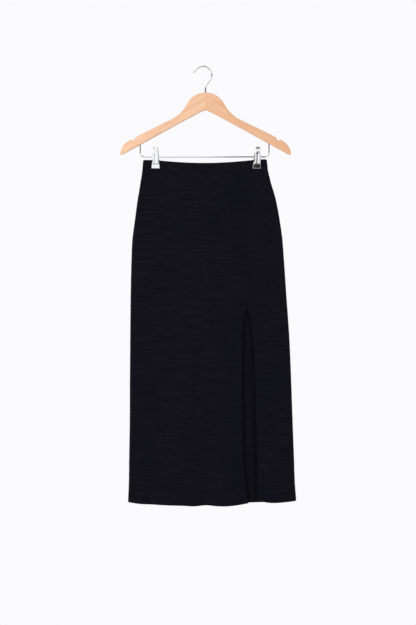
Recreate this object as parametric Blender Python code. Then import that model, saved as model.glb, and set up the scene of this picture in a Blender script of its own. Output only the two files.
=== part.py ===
"""A maxi skirt on its clip hanger, with the hook, the wooden arms, the wire bar and the two clips.

Tables and sizes are in millimetres. X runs to the right, Y to the back and Z up, and the origin is the
inner top of the hook, where it hangs on a rail. The skirt's depths are half depths, from the plane Y = 0.
"""

import math

import bmesh
import bpy
import numpy as np
from mathutils import Matrix, Vector

for old in list(bpy.data.objects):
    bpy.data.objects.remove(old, do_unlink=True)

MM = 0.001
SEAM_GAP = 0.3

# The skirt's cut and its cloth.
WAIST_Z = -241.4
SKIRT_LENGTH = 888.5
BAND_HEIGHT = 24.0
CLOTH_WALL = 1.5
BAND_WALL = 2.4
BAND_ROUND = 0.6
HEM_TURN = 32.0
SEAM_TURN = 14.0
TURN_STEP = 1.2

# How the cloth hangs: the middle of the waist sinks between the clips, which pinch it flat, and the waist
# rises a little to the right, by this much for each millimetre.
WAIST_SAG = 9.0
WAIST_LEAN = 0.006
CLIP_AT = (-123.0, 141.0)
CLIP_HALF_WIDTH = 10.5
PINCHED_DEPTH = 2.1
PINCH_FADE = 190.0
PINCH_REACH = 24.0
PINCH_SPREAD = 0.30
# The side folds are a little narrower than the cloth is deep, and the cloth flattens towards them.
SIDE_ROUND = 0.85
SIDE_FLATTENING = 0.28

# The panels' grids.
FRONT_COLUMNS = 25
SIDE_FRONT_COLUMNS = 7
BACK_COLUMNS = 32
BAND_COLUMNS = 30
ROUND_COLUMNS = 5
PANEL_ROWS = 26

# The skirt's outline as it hangs: drop below the waist, left edge, right edge, half depth.
SECTIONS = np.array((
    (0, -155.8, 166.0, 6.2),
    (26, -157.9, 168.9, 6.8),
    (52, -161.7, 174.6, 7.3),
    (104, -170.2, 189.4, 8.0),
    (156, -177.2, 199.3, 8.4),
    (208, -184.0, 206.7, 8.7),
    (260, -186.2, 210.6, 8.8),
    (364, -188.5, 217.8, 8.8),
    (468, -189.5, 225.0, 8.8),
    (572, -190.3, 229.4, 8.9),
    (676, -190.6, 233.2, 9.1),
    (780, -192.3, 236.9, 9.4),
    (845, -193.3, 239.3, 9.7),
    (SKIRT_LENGTH, -195.2, 242.6, 9.9),
))
# How far the hem hangs past the skirt's plain length, along the front and along the back: x, extra drop.
FRONT_HEM = np.array((
    (-193, 1.2),
    (-164, 5.4),
    (-138, 6.8),
    (-86, 9.3),
    (-54, 9.7),
    (-22, 11.2),
    (8, 8.9),
    (40, 11.1),
    (70, 10.6),
    (96, 7.7),
    (119, 3.2),
    (138, -2.6),
    (150, -1.5),
    (164, 1.2),
    (182, 2.8),
    (213, 1.4),
    (242, -2.5),
))
BACK_HEM = np.array((
    (-193, 1.2),
    (-90, 6.0),
    (20, 7.0),
    (125, 2.9),
    (190, 2.0),
    (242, -2.5),
))

# The seam between the two front panels, straight from the waistband down to the slit.
SEAM_TOP_X = 104.0
SLIT_TOP = 384.0
# The slit's two edges below it: drop, left edge, right edge.
SLIT_EDGES = np.array((
    (SLIT_TOP, 114.0, 114.0),
    (400, 108.6, 119.6),
    (442, 104.6, 126.0),
    (494, 102.2, 131.4),
    (572, 101.2, 135.2),
    (676, 102.4, 138.6),
    (754, 104.0, 140.0),
    (800, 106.8, 140.4),
    (852, 112.6, 140.8),
    (SKIRT_LENGTH, 117.8, 141.0),
))

# Soft folds, a row for each: x at its top, x at its foot, start drop, end drop, half width, height out.
# One whose end lies below the hem runs out through it.
FRONT_FOLDS = (
    (-124, -176, 30, 430, 20, 1.6),
    (-96, -76, 60, 520, 26, -2.0),
    (-30, -42, 260, 760, 42, 1.6),
    (20, 34, 90, 560, 50, 1.8),
    (8, 6, 640, 1100, 24, -2.6),
    (-52, -48, 700, 1100, 30, 2.0),
    (62, 56, 600, 1100, 26, 2.4),
    (-128, -134, 520, 1100, 26, -2.0),
    (139, 176, 30, 420, 20, 1.6),
    (108, 104, 380, 1100, 20, -1.4),
    (162, 166, 420, 1100, 22, 1.4),
    (204, 208, 200, 1100, 18, -1.4),
)
BACK_FOLDS = (
    (-124, -158, 30, 420, 22, 1.6),
    (139, 172, 30, 440, 22, 1.6),
    (-60, -72, 140, 700, 38, -1.8),
    (6, -4, 80, 600, 46, 1.8),
    (82, 96, 200, 700, 30, -1.4),
    (-110, -122, 480, 1100, 28, 2.2),
    (30, 36, 620, 1100, 30, -2.2),
    (104, 126, 60, 1300, 36, -5.6),
    (182, 190, 420, 1100, 24, 1.8),
    (-14, -24, 740, 1100, 22, 2.0),
)

# The wooden arms, measured from the stem.
STEM_X = 6.5
WOOD_THICK = 12.0
WOOD_ROUND = 2.6
CROWN_RADIUS = 54.5
CROWN_CENTRE_Z = -121.8
NECK_RADIUS = 95.0
ARM_SLOPE = 0.486
ARM_TOP_AT = (117.0, -150.8)
# Where the straight top ends: the strap notch's steep wall and rounded floor, the bump beyond it and the
# blunt tip, round to the underside, as distance out and z.
ARM_END = [
    (165.0, -174.5),
    (176.0, -180.2),
    (181.5, -183.0),
    (184.2, -185.6),
    (185.5, -190.2),
    (188.2, -191.8),
    (191.4, -189.9),
    (195.0, -189.8),
    (200.2, -192.6),
    (205.4, -196.1),
    (210.6, -200.8),
    (215.8, -207.7),
    (218.5, -212.9),
    (221.0, -220.0),
    (222.1, -225.2),
    (221.3, -228.0),
    (218.4, -228.4),
    (213.0, -226.4),
]
# The underside from below the stem to the tip, as distance out and z.
UNDERSIDE = (
    (0.0, -112.0),
    (12.0, -117.0),
    (70.0, -147.9),
    (213.0, -226.4),
)

# The hook.
HOOK_WIRE = 3.5
HOOK_RADIUS = 23.0
HOOK_END_ANGLE = 150.0
HOOK_NECK_ANGLE = -38.0
HOOK_NECK_RADIUS = 16.0
HOOK_DEPTH_IN_WOOD = 26.0
HOOK_TIP_RADIUS = 8.0
HOOK_TIP_TURN = 52.0

# The wire bar and the clips on it.
BAR_WIRE = 3.0
BAR_Z = -234.0
BAR_CENTRE_X = 4.1
BAR_HALF_WIDTH = 167.4
BAR_CORNER = 10.4
BAR_DEPTH_IN_WOOD = 14.0
# The right clip leans: how far a plate moves out in X for each millimetre up.
CLIP_LEAN = (0.0, 0.05)
CLIP_SHEET = 1.2
EAR_SHEET = 1.0
EAR_FOOT = 7.0
EAR_RADIUS = 3.2
FRONT_EAR_AT = 7.7
BACK_EAR_AT = 6.3
FINGER_HOLE = 8.4
FINGER_HOLE_Z = -216.6
SPRING_WIRE = 1.2
SPRING_TURNS = 4
SPRING_PITCH = 1.7
# A leg's end: how far out in X beyond the coil, in Y from the bar's middle, and up from it.
SPRING_LEG = (0.6, 7.1, 17.0)
# The clip's plate from its finger end down to its lip: z, half width, distance of its middle from Y = 0.
CLIP_PLATE = (
    (-208.0, 3.4, 10.6),
    (-209.2, 5.0, 10.4),
    (-212.5, 6.6, 9.9),
    (-217.0, 7.1, 9.4),
    (-222.0, 7.2, 8.8),
    (-229.0, 8.2, 7.9),
    (-240.0, 8.7, 7.0),
    (-250.0, 9.0, 6.6),
    (-252.5, 9.2, 6.4),
    (-254.0, 9.6, 5.9),
    (-263.6, 10.4, 4.5),
    (-265.0, 10.4, 4.5),
)


def material(name, colour, roughness, metallic=0.0):
    made = bpy.data.materials.new(name)
    made.use_nodes = True
    shader = made.node_tree.nodes["Principled BSDF"]
    shader.inputs["Base Color"].default_value = (*colour, 1.0)
    shader.inputs["Roughness"].default_value = roughness
    shader.inputs["Metallic"].default_value = metallic
    return made


KNIT = material("black_knit", (0.0058, 0.0053, 0.0088), 0.85)
BEECH = material("beech", (0.86, 0.52, 0.32), 0.45)
CHROME = material("chrome", (0.80, 0.80, 0.82), 0.15, 1.0)


def object_from_bmesh(name, bm, surface):
    """Makes a smooth-shaded object of a bmesh built in millimetres."""
    bmesh.ops.recalc_face_normals(bm, faces=bm.faces)
    bmesh.ops.scale(bm, vec=(MM, MM, MM), verts=bm.verts)
    mesh = bpy.data.meshes.new(name)
    bm.to_mesh(mesh)
    bm.free()
    mesh.materials.append(surface)
    mesh.polygons.foreach_set("use_smooth", [True] * len(mesh.polygons))
    obj = bpy.data.objects.new(name, mesh)
    bpy.context.scene.collection.objects.link(obj)
    return obj


def smooth_step(value, start, end):
    share = np.clip((value - start) / (end - start), 0.0, 1.0)
    return share * share * (3.0 - 2.0 * share)


def along(table, column, place):
    """A column of a table at this place in its first column, by a smooth curve through its rows."""
    places, values = table[:, 0], table[:, column]
    slopes = np.gradient(values, places)
    row = int(np.clip(np.searchsorted(places, place) - 1, 0, len(places) - 2))
    step = places[row + 1] - places[row]
    share = float(np.clip((place - places[row]) / step, 0.0, 1.0))
    square, cube = share**2, share**3
    return (
        (2 * cube - 3 * square + 1) * values[row]
        + (cube - 2 * square + share) * step * slopes[row]
        + (3 * square - 2 * cube) * values[row + 1]
        + (cube - square) * step * slopes[row + 1]
    )


# --- The skirt's surface --------------------------------------------------------------------------


def pinch(x, drop):
    """How much of its fullness the cloth keeps here: all of it far from the clips, and none inside them."""
    reach = PINCH_REACH + PINCH_SPREAD * max(drop - BAND_HEIGHT, 0.0)
    hold = 1.0 - float(smooth_step(drop, BAND_HEIGHT, BAND_HEIGHT + PINCH_FADE))
    kept = 1.0
    for clip_x in CLIP_AT:
        beyond = max(abs(x - clip_x) - CLIP_HALF_WIDTH - 1.0, 0.0)
        kept *= 1.0 - hold * math.exp(-((beyond / reach) ** 2))
    return kept


def fold_height(folds, x, drop):
    total = 0.0
    for top_x, foot_x, start, end, half_width, height in folds:
        share = (drop - start) / (end - start)
        centre = top_x + (foot_x - top_x) * share
        ease = 0.3 * (end - start)
        window = smooth_step(drop, start, start + ease) * (1.0 - smooth_step(drop, end - ease, end))
        total += height * float(window) * math.exp(-(((x - centre) / half_width) ** 2))
    return total


def stand_off(x, drop, folds):
    """How far the cloth's middle stands from Y = 0 here, folds and all."""
    left, right = along(SECTIONS, 1, drop), along(SECTIONS, 2, drop)
    across = (2 * x - left - right) / (right - left)
    full = along(SECTIONS, 3, drop) * (1.0 - SIDE_FLATTENING * across**2) + fold_height(folds, x, drop)
    return PINCHED_DEPTH + (full - PINCHED_DEPTH) * pinch(x, drop)


def height_at(x, drop, hem):
    """Z of the point at this drop: the waist sags at the top, and the hem's own line takes over below."""
    between = (2 * x - sum(CLIP_AT)) / (CLIP_AT[1] - CLIP_AT[0])
    waist = WAIST_SAG * max(1.0 - between**2, 0.0)
    low = drop / SKIRT_LENGTH
    return WAIST_Z - drop + (WAIST_LEAN * x - waist) * (1.0 - low) - along(hem, 1, x) * low**3


def side_point(drop, turn, side, face, folds, hem, wall):
    """A point on the rounded fold at the left (side -1) or the right (side 1): turn is 0 where the flat of
    the cloth ends and 1 at the side seam."""
    edge = along(SECTIONS, 1 if side < 0 else 2, drop)
    radius = SIDE_ROUND * along(SECTIONS, 3, drop)
    angle = turn * math.pi / 2
    x = edge - side * (wall / 2 + radius * (1.0 - math.sin(angle)))
    y = max(stand_off(x, drop, folds) * math.cos(angle), SEAM_GAP / 2)
    return Vector((x, face * y, height_at(x, drop, hem)))


def flat_point(drop, x, face, folds, hem):
    """A point on the front (face -1) or the back (face 1), between the side folds."""
    return Vector((x, face * stand_off(x, drop, folds), height_at(x, drop, hem)))


def panel_row(drop, face, start, end, columns, folds, hem, wall):
    """A row of points from left to right. Without a start or an end it runs round to the side seam."""
    inset = SIDE_ROUND * along(SECTIONS, 3, drop) + wall / 2
    left = along(SECTIONS, 1, drop) + inset
    right = along(SECTIONS, 2, drop) - inset
    turns = [1.0 - step / ROUND_COLUMNS for step in range(ROUND_COLUMNS)]
    row = []
    if start is None:
        row += [side_point(drop, turn, -1, face, folds, hem, wall) for turn in turns]
    first = left if start is None else start
    last = right if end is None else end
    # A seam's or slit's edge is turned in, and the step where the turning ends has a column at each side.
    turned_left = [] if start is None else [first, first + SEAM_TURN]
    turned_right = [] if end is None else [last - SEAM_TURN, last]
    first += (SEAM_TURN + TURN_STEP) * bool(turned_left)
    last -= (SEAM_TURN + TURN_STEP) * bool(turned_right)
    places = turned_left + list(np.linspace(first, last, columns + 1)) + turned_right
    row += [flat_point(drop, x, face, folds, hem) for x in places]
    if end is None:
        row += [side_point(drop, turn, 1, face, folds, hem, wall) for turn in reversed(turns)]
    return row


def tangents(grid, axis, ring=False):
    """Directions along one axis of a grid of points, each side weighed by how near its neighbour is."""
    if ring:
        after = np.roll(grid, -1, axis=axis) - grid
        before = grid - np.roll(grid, 1, axis=axis)
    else:
        steps = np.diff(grid, axis=axis)
        first, last = np.take(steps, [0], axis=axis), np.take(steps, [-1], axis=axis)
        after = np.concatenate((steps, last), axis=axis)
        before = np.concatenate((first, steps), axis=axis)
    near = np.linalg.norm(after, axis=2, keepdims=True)
    far = np.linalg.norm(before, axis=2, keepdims=True)
    return after / near * far + before / far * near


def grid_normals(rows, face, ring=False):
    """The points as an array, and the outward normal at each of them."""
    grid = np.array([[tuple(point) for point in row] for row in rows])
    normals = np.cross(tangents(grid, 1, ring), tangents(grid, 0)) * face
    return grid, normals / np.linalg.norm(normals, axis=2, keepdims=True)


def level(normals):
    """The normals turned to point straight sideways, so that the two sides of a side seam stay parallel."""
    sideways = normals * np.array((1.0, 0.0, 1.0))
    return sideways / np.linalg.norm(sideways, axis=1, keepdims=True)


def wall_object(name, outer, inner, surface, ring=False):
    """A closed wall between two grids of points, open on no side. A ring's last column meets its first."""
    rows, columns = outer.shape[:2]
    bm = bmesh.new()
    sheets = [[[bm.verts.new(point) for point in row] for row in sheet] for sheet in (outer, inner)]
    spans = [(c, (c + 1) % columns) for c in range(columns if ring else columns - 1)]
    for sheet in sheets:
        for r in range(rows - 1):
            for c, after in spans:
                bm.faces.new((sheet[r][c], sheet[r][after], sheet[r + 1][after], sheet[r + 1][c]))
    front, back = sheets
    for r in (0, rows - 1):
        for c, after in spans:
            bm.faces.new((front[r][c], front[r][after], back[r][after], back[r][c]))
    if not ring:
        for c in (0, columns - 1):
            for r in range(rows - 1):
                bm.faces.new((front[r][c], front[r + 1][c], back[r + 1][c], back[r][c]))
    return object_from_bmesh(name, bm, surface)


def panel(name, face, columns, folds, hem, seam_left=None, seam_right=None):
    """A panel from the waistband to the hem, double where its hem and its seam or slit edges turn in."""
    top = BAND_HEIGHT + SEAM_GAP
    drops = list(np.linspace(top, SKIRT_LENGTH - HEM_TURN - TURN_STEP, PANEL_ROWS - 1))
    drops += [SKIRT_LENGTH - HEM_TURN, SKIRT_LENGTH - HEM_TURN / 2, SKIRT_LENGTH]
    rows = []
    for drop in drops:
        start = seam_left(drop) if seam_left else None
        end = seam_right(drop) if seam_right else None
        rows.append(panel_row(drop, face, start, end, columns, folds, hem, CLOTH_WALL))
    grid, normals = grid_normals(rows, face)
    for column, seam in ((0, seam_left), (-1, seam_right)):
        if seam is None:
            normals[:, column] = level(normals[:, column])
    double = np.ones(grid.shape[:2])
    double[-3:, :] = 2
    if seam_left:
        double[:, :2] = 2
    if seam_right:
        double[:, -2:] = 2
    outer = grid + normals * CLOTH_WALL / 2
    inner = grid + normals * CLOTH_WALL * (0.5 - double[..., None])
    return wall_object(name, outer, inner, KNIT)


def waistband():
    """The folded, elasticated band: one ring, its top edge rounded, pressed flat in each clip."""
    rows = []
    for drop in (0.0, 0.9, 8.0, 16.0, BAND_HEIGHT - 0.7, BAND_HEIGHT):
        front = panel_row(drop, -1, None, None, BAND_COLUMNS, (), FRONT_HEM, BAND_WALL)
        back = panel_row(drop, 1, None, None, BAND_COLUMNS, (), BACK_HEM, BAND_WALL)
        rows.append(front + back[-2:0:-1])
    grid, normals = grid_normals(rows, -1, ring=True)
    half = np.full((len(rows), 1, 1), BAND_WALL / 2)
    half[0] = half[-1] = BAND_WALL / 2 - BAND_ROUND
    return wall_object("waistband", grid + normals * half, grid - normals * half, KNIT, ring=True)


def front_edge(column, side):
    """Where a front panel ends at each drop: half a gap from the seam, and on down the slit's own edge."""

    def edge(drop):
        if drop < SLIT_TOP:
            x = SEAM_TOP_X + (SLIT_EDGES[0, column] - SEAM_TOP_X) * drop / SLIT_TOP
        else:
            x = along(SLIT_EDGES, column, drop)
        return x + side * SEAM_GAP / 2

    return edge


# --- The hanger -----------------------------------------------------------------------------------


def arc(centre, radius, start, end, steps):
    """Points of a circular arc in the XZ plane, angles in degrees from +X towards +Z."""
    angles = np.radians(np.linspace(start, end, steps + 1))
    return [(centre[0] + radius * math.cos(a), centre[1] + radius * math.sin(a)) for a in angles]


def neck_circle():
    """Centre of the circle that rounds the crown into the arm's straight top, outside both."""
    length = math.hypot(1.0, ARM_SLOPE)
    normal = (ARM_SLOPE / length, 1.0 / length)
    down = (1.0 / length, -ARM_SLOPE / length)
    from_crown = (
        ARM_TOP_AT[0] + NECK_RADIUS * normal[0],
        ARM_TOP_AT[1] + NECK_RADIUS * normal[1] - CROWN_CENTRE_Z,
    )
    middle = from_crown[0] * down[0] + from_crown[1] * down[1]
    excess = from_crown[0] ** 2 + from_crown[1] ** 2 - (CROWN_RADIUS + NECK_RADIUS) ** 2
    slide = math.sqrt(middle**2 - excess) - middle
    return (from_crown[0] + slide * down[0], from_crown[1] + slide * down[1] + CROWN_CENTRE_Z)


def underside(out):
    return float(np.interp(out, *zip(*UNDERSIDE)))


def arm_outline():
    """The right half's outline from the crown's top to the underside's apex, as offsets from the stem."""
    neck = neck_circle()
    towards = math.degrees(math.atan2(neck[1] - CROWN_CENTRE_Z, neck[0]))
    foot = 270.0 - math.degrees(math.atan(ARM_SLOPE))

    points = arc((0.0, CROWN_CENTRE_Z), CROWN_RADIUS, 90.0, towards, 9)
    points += arc(neck, NECK_RADIUS, towards + 180.0, foot, 6)[1:]
    points.append((150.0, ARM_TOP_AT[1] - ARM_SLOPE * (150.0 - ARM_TOP_AT[0])))
    points += ARM_END
    return points + [(out, underside(out)) for out in (150.0, 70.0, 12.0)]


def as_helper(obj):
    """Marks an object as a cutter or another helper, which isn't a piece of its own."""
    obj.hide_render = True
    obj.display_type = "WIRE"
    return obj


def combine(obj, helper, operation):
    modifier = obj.modifiers.new(helper.name, "BOOLEAN")
    modifier.operation = operation
    modifier.solver = "EXACT"
    modifier.object = helper


def bore(name, centre, low, high, diameter):
    """An upright cutter cylinder for the hole that a wire sits in."""
    bm = bmesh.new()
    bmesh.ops.create_cone(
        bm, cap_ends=True, segments=16, radius1=diameter / 2, radius2=diameter / 2, depth=high - low
    )
    bmesh.ops.translate(bm, vec=(centre, 0.0, (low + high) / 2), verts=bm.verts)
    return as_helper(object_from_bmesh(name, bm, CHROME))


def wooden_arms():
    """One flat piece with rounded edges, symmetric about the stem, bored for the hook and the bar."""
    right = arm_outline()
    left = [(-out, z) for out, z in reversed(right[1:])]
    apex = [(0.0, underside(0.0))]
    bm = bmesh.new()
    verts = [bm.verts.new((STEM_X + out, -WOOD_THICK / 2, z)) for out, z in right + apex + left]
    face = bm.faces.new(verts)
    made = bmesh.ops.extrude_face_region(bm, geom=[face])
    moved = [item for item in made["geom"] if isinstance(item, bmesh.types.BMVert)]
    bmesh.ops.translate(bm, vec=(0.0, WOOD_THICK, 0.0), verts=moved)
    rims = [edge for edge in bm.edges if abs(edge.verts[0].co.y - edge.verts[1].co.y) < 0.1]
    bmesh.ops.bevel(bm, geom=rims, offset=WOOD_ROUND, segments=3, profile=0.5, affect="EDGES")
    wood = object_from_bmesh("hanger_wood", bm, BEECH)
    hole = HOOK_WIRE + 2 * SEAM_GAP
    crown_top = CROWN_CENTRE_Z + CROWN_RADIUS
    low = crown_top - HOOK_DEPTH_IN_WOOD - SEAM_GAP
    combine(wood, bore("bore_hook", STEM_X, low, crown_top + 9.0, hole), "DIFFERENCE")
    hole = BAR_WIRE + 2 * SEAM_GAP
    for side in (-1, 1):
        at = BAR_CENTRE_X + side * BAR_HALF_WIDTH
        low = underside(abs(at - STEM_X))
        high = low + BAR_DEPTH_IN_WOOD + SEAM_GAP
        combine(wood, bore(f"bore_bar_{side}", at, low - 9.0, high, hole), "DIFFERENCE")
    return wood


def wire(name, points, diameter, surface, sides=8):
    """A round wire through points in millimetres, with closed ends."""
    curve = bpy.data.curves.new(name, "CURVE")
    curve.dimensions = "3D"
    curve.bevel_depth = diameter / 2 * MM
    curve.bevel_resolution = (sides - 4) // 2
    curve.use_fill_caps = True
    spline = curve.splines.new("POLY")
    spline.points.add(len(points) - 1)
    for target, point in zip(spline.points, points):
        target.co = (*(Vector(point) * MM), 1.0)
    spline.use_smooth = True
    curve.materials.append(surface)
    obj = bpy.data.objects.new(name, curve)
    bpy.context.scene.collection.objects.link(obj)
    return obj


def in_plane(points):
    return [(x, 0.0, z) for x, z in points]


def hook():
    """The round hook over a straight stem, its tip bent outwards and its foot bored into the crown."""
    centre = (0.0, HOOK_WIRE / 2 - HOOK_RADIUS)
    bend = math.radians(-HOOK_NECK_ANGLE)
    over = arc(centre, HOOK_RADIUS, HOOK_END_ANGLE, HOOK_NECK_ANGLE, 26)
    # The tip's small reverse bend.
    away = math.radians(HOOK_END_ANGLE)
    tip_reach = HOOK_RADIUS + HOOK_TIP_RADIUS
    tip_centre = (centre[0] + tip_reach * math.cos(away), centre[1] + tip_reach * math.sin(away))
    tip_from = HOOK_END_ANGLE - 180.0
    tip = arc(tip_centre, HOOK_TIP_RADIUS, tip_from - HOOK_TIP_TURN, tip_from, 4)[:-1]
    # The neck's straight and its reverse bend into the stem.
    reach = over[-1][0] - STEM_X - HOOK_NECK_RADIUS * (1.0 - math.cos(bend))
    straight = reach / math.sin(bend)
    joined = (over[-1][0] - reach, over[-1][1] - straight * math.cos(bend))
    neck_centre = (STEM_X + HOOK_NECK_RADIUS, joined[1] - HOOK_NECK_RADIUS * math.sin(bend))
    neck = arc(neck_centre, HOOK_NECK_RADIUS, 180.0 + HOOK_NECK_ANGLE, 180.0, 5)
    foot = CROWN_CENTRE_Z + CROWN_RADIUS - HOOK_DEPTH_IN_WOOD
    points = tip + over + neck + [(STEM_X, foot)]
    return wire("hanger_hook", in_plane(points), HOOK_WIRE, CHROME, sides=10)


def bar():
    """The wire that hangs under the arms, its ends bored into them."""
    low = BAR_Z + BAR_CORNER
    left, right = BAR_CENTRE_X - BAR_HALF_WIDTH, BAR_CENTRE_X + BAR_HALF_WIDTH
    tops = [(x, underside(abs(x - STEM_X)) + BAR_DEPTH_IN_WOOD) for x in (left, right)]
    points = tops[:1] + arc((left + BAR_CORNER, low), BAR_CORNER, 180.0, 270.0, 6)
    points += arc((right - BAR_CORNER, low), BAR_CORNER, 270.0, 360.0, 6) + tops[1:]
    return wire("hanger_bar", in_plane(points), BAR_WIRE, CHROME)


def ear(name, clip_x, offset, face):
    """A side ear of a clip's plate: from the plate's inner side to round the far side of the bar."""
    plate = face * EAR_FOOT
    far = [(-face * EAR_RADIUS * math.cos(a), EAR_RADIUS * math.sin(a)) for a in np.linspace(-1.2, 1.2, 7)]
    outline = [(plate, -EAR_RADIUS - 1.6)] + far + [(plate, EAR_RADIUS + 1.6)]
    bm = bmesh.new()
    left = clip_x + offset - EAR_SHEET / 2
    face_verts = [bm.verts.new((left, y, BAR_Z + z)) for y, z in outline]
    made = bmesh.ops.extrude_face_region(bm, geom=[bm.faces.new(face_verts)])
    moved = [item for item in made["geom"] if isinstance(item, bmesh.types.BMVert)]
    bmesh.ops.translate(bm, vec=(EAR_SHEET, 0.0, 0.0), verts=moved)
    return as_helper(object_from_bmesh(name, bm, CHROME))


def cross_pin(name, centre, axis, diameter, length):
    """A cutter cylinder along X or Y."""
    bm = bmesh.new()
    radius = diameter / 2
    bmesh.ops.create_cone(bm, cap_ends=True, segments=14, radius1=radius, radius2=radius, depth=length)
    quarter = Matrix.Rotation(math.pi / 2, 3, "Y" if axis == "X" else "X")
    bmesh.ops.rotate(bm, matrix=quarter, verts=bm.verts)
    bmesh.ops.translate(bm, vec=centre, verts=bm.verts)
    return as_helper(object_from_bmesh(name, bm, CHROME))


def clip_jaw(name, clip_x, lean, face, ear_offset):
    """A clip's front (face -1) or back (face 1) plate: ribbed sheet, a finger hole and ears for the bar."""
    across = np.array((-1.0, -0.72, -0.5, -0.28, 0.0, 0.28, 0.5, 0.72, 1.0))
    rib = np.array((0.0, 0.1, 0.6, 0.1, -0.2, 0.1, 0.6, 0.1, 0.0))
    rows = []
    for z, half_width, stand_off in CLIP_PLATE:
        ribs = rib if -250.5 < z < -233.0 else 0 * rib
        middle = clip_x + lean * (z - BAR_Z)
        rows.append([(middle + half_width * u, face * (stand_off + r), z) for u, r in zip(across, ribs)])
    grid, normals = grid_normals(rows, face)
    half = normals * CLIP_SHEET / 2
    jaw = wall_object(name, grid + half, grid - half, CHROME)
    for side in (-1, 1):
        combine(jaw, ear(f"{name}_ear_{side}", clip_x, side * ear_offset, face), "UNION")
    bar_hole = BAR_WIRE + 2 * SEAM_GAP
    combine(jaw, cross_pin(f"{name}_bar_hole", (clip_x, 0.0, BAR_Z), "X", bar_hole, 30.0), "DIFFERENCE")
    hole_at = (clip_x + lean * (FINGER_HOLE_Z - BAR_Z), face * 10.0, FINGER_HOLE_Z)
    combine(jaw, cross_pin(f"{name}_finger_hole", hole_at, "Y", FINGER_HOLE, 6.0), "DIFFERENCE")
    return jaw


def clip_spring(name, clip_x):
    """The coil spring round the bar between the plates, with a leg behind each finger end."""
    radius = BAR_WIRE / 2 + SEAM_GAP + SPRING_WIRE / 2
    start = clip_x - SPRING_PITCH * SPRING_TURNS / 2
    steps = 10 * SPRING_TURNS
    out, away, up = SPRING_LEG
    points = [(start - out, -away, BAR_Z + up)]
    for step in range(steps + 1):
        angle = math.radians(180.0) + math.tau * step / 10 * (SPRING_TURNS - 0.5) / SPRING_TURNS
        points.append((
            start + SPRING_PITCH * SPRING_TURNS * step / steps,
            radius * math.cos(angle),
            BAR_Z + radius * math.sin(angle),
        ))
    points.append((start + SPRING_PITCH * SPRING_TURNS + out, away, BAR_Z + up))
    return wire(name, points, SPRING_WIRE, CHROME, sides=6)


waistband()
panel("front_panel", -1, FRONT_COLUMNS, FRONT_FOLDS, FRONT_HEM, seam_right=front_edge(1, -1))
panel("side_front_panel", -1, SIDE_FRONT_COLUMNS, FRONT_FOLDS, FRONT_HEM, seam_left=front_edge(2, 1))
panel("back_panel", 1, BACK_COLUMNS, BACK_FOLDS, BACK_HEM)
wooden_arms()
hook()
bar()
for side_name, place, lean in zip(("left", "right"), CLIP_AT, CLIP_LEAN):
    clip_jaw(f"clip_{side_name}_front", place, lean, -1, FRONT_EAR_AT)
    clip_jaw(f"clip_{side_name}_back", place, lean, 1, BACK_EAR_AT)
    clip_spring(f"clip_{side_name}_spring", place)
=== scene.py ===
import math

import bmesh
import bpy
import numpy as np
from mathutils import Matrix, Vector


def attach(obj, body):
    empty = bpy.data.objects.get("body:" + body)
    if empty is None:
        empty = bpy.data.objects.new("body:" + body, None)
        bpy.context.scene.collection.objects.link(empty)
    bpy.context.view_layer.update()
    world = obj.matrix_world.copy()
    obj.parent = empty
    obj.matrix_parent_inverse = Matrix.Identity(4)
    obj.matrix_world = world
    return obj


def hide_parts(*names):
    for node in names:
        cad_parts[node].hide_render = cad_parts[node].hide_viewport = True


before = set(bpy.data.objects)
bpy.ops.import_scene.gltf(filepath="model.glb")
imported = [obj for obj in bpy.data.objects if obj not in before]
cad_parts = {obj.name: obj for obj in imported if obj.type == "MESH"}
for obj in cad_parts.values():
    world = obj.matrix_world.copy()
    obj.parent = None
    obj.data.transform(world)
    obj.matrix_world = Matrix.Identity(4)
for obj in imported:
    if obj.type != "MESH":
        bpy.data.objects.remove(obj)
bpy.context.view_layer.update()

# --- Front panel ---
# The main front of a straight black knit skirt, from the left side seam to the slit. The cloth is a fine
# jersey of uneven yarn, which gives it crosswise streaks. It hangs almost flat, pinched where the clips
# hold the waistband, and its hem and its slit edge are turned in once and stitched.

# Sizes and tables are in millimetres: X to the right, Y to the back and Z up from the hook's inner top.
MM = 0.001
FRONT_FACE = -1
BACK_FACE = 1
# The gap between two panels at the side seams, and the finer one at the seam above the slit.
SEAM_GAP = 0.3
SEAM_CLOSED = 0.1
# The waist leans a little and sags between the clips.
WAIST_Z = -241.4
WAIST_LEAN = 0.006
WAIST_SAG = 9.0
SKIRT_LENGTH = 888.5
BAND_HEIGHT = 24.0
# The cloth's thickness, what is turned in at the hem and at the slit, and where the stitches hold it.
CLOTH_WALL = 1.3
HEM_TURN = 32.0
SEAM_TURN = 14.0
TURN_STEP = 1.2
HEM_STITCH_AT = (29.2, 26.2)
SLIT_STITCH_AT = 11.6
# Where the clips hold the waist, and how their pinch fades out below and beside them.
CLIP_AT = (-123.0, 141.0)
PINCH_HALF_WIDTH = 11.5
PINCHED_DEPTH = 2.1
PINCH_FADE = 190.0
PINCH_REACH = 24.0
PINCH_SPREAD = 0.30
# The round of the side folds, how much flatter the skirt is there, and how gently a fold starts and ends.
SIDE_ROUND = 0.85
SIDE_FLATTENING = 0.28
FOLD_EASE = 0.3
# A panel's rows. The first and the last have a share of the cloth's thickness, which rounds the edges:
# place from the edge, share. Those on the turned hem: first and last place from the foot, number.
TOP_ROWS = ((0.0, 0.45), (0.7, 0.80), (1.6, 0.96))
FLAT_ROWS_FROM = 3.5
FLAT_ROWS = 270
TURNED_ROWS = (23.5, 3.0, 8)
HEM_ROWS = ((1.2, 0.94), (0.5, 0.80), (0.0, 0.42))
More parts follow.
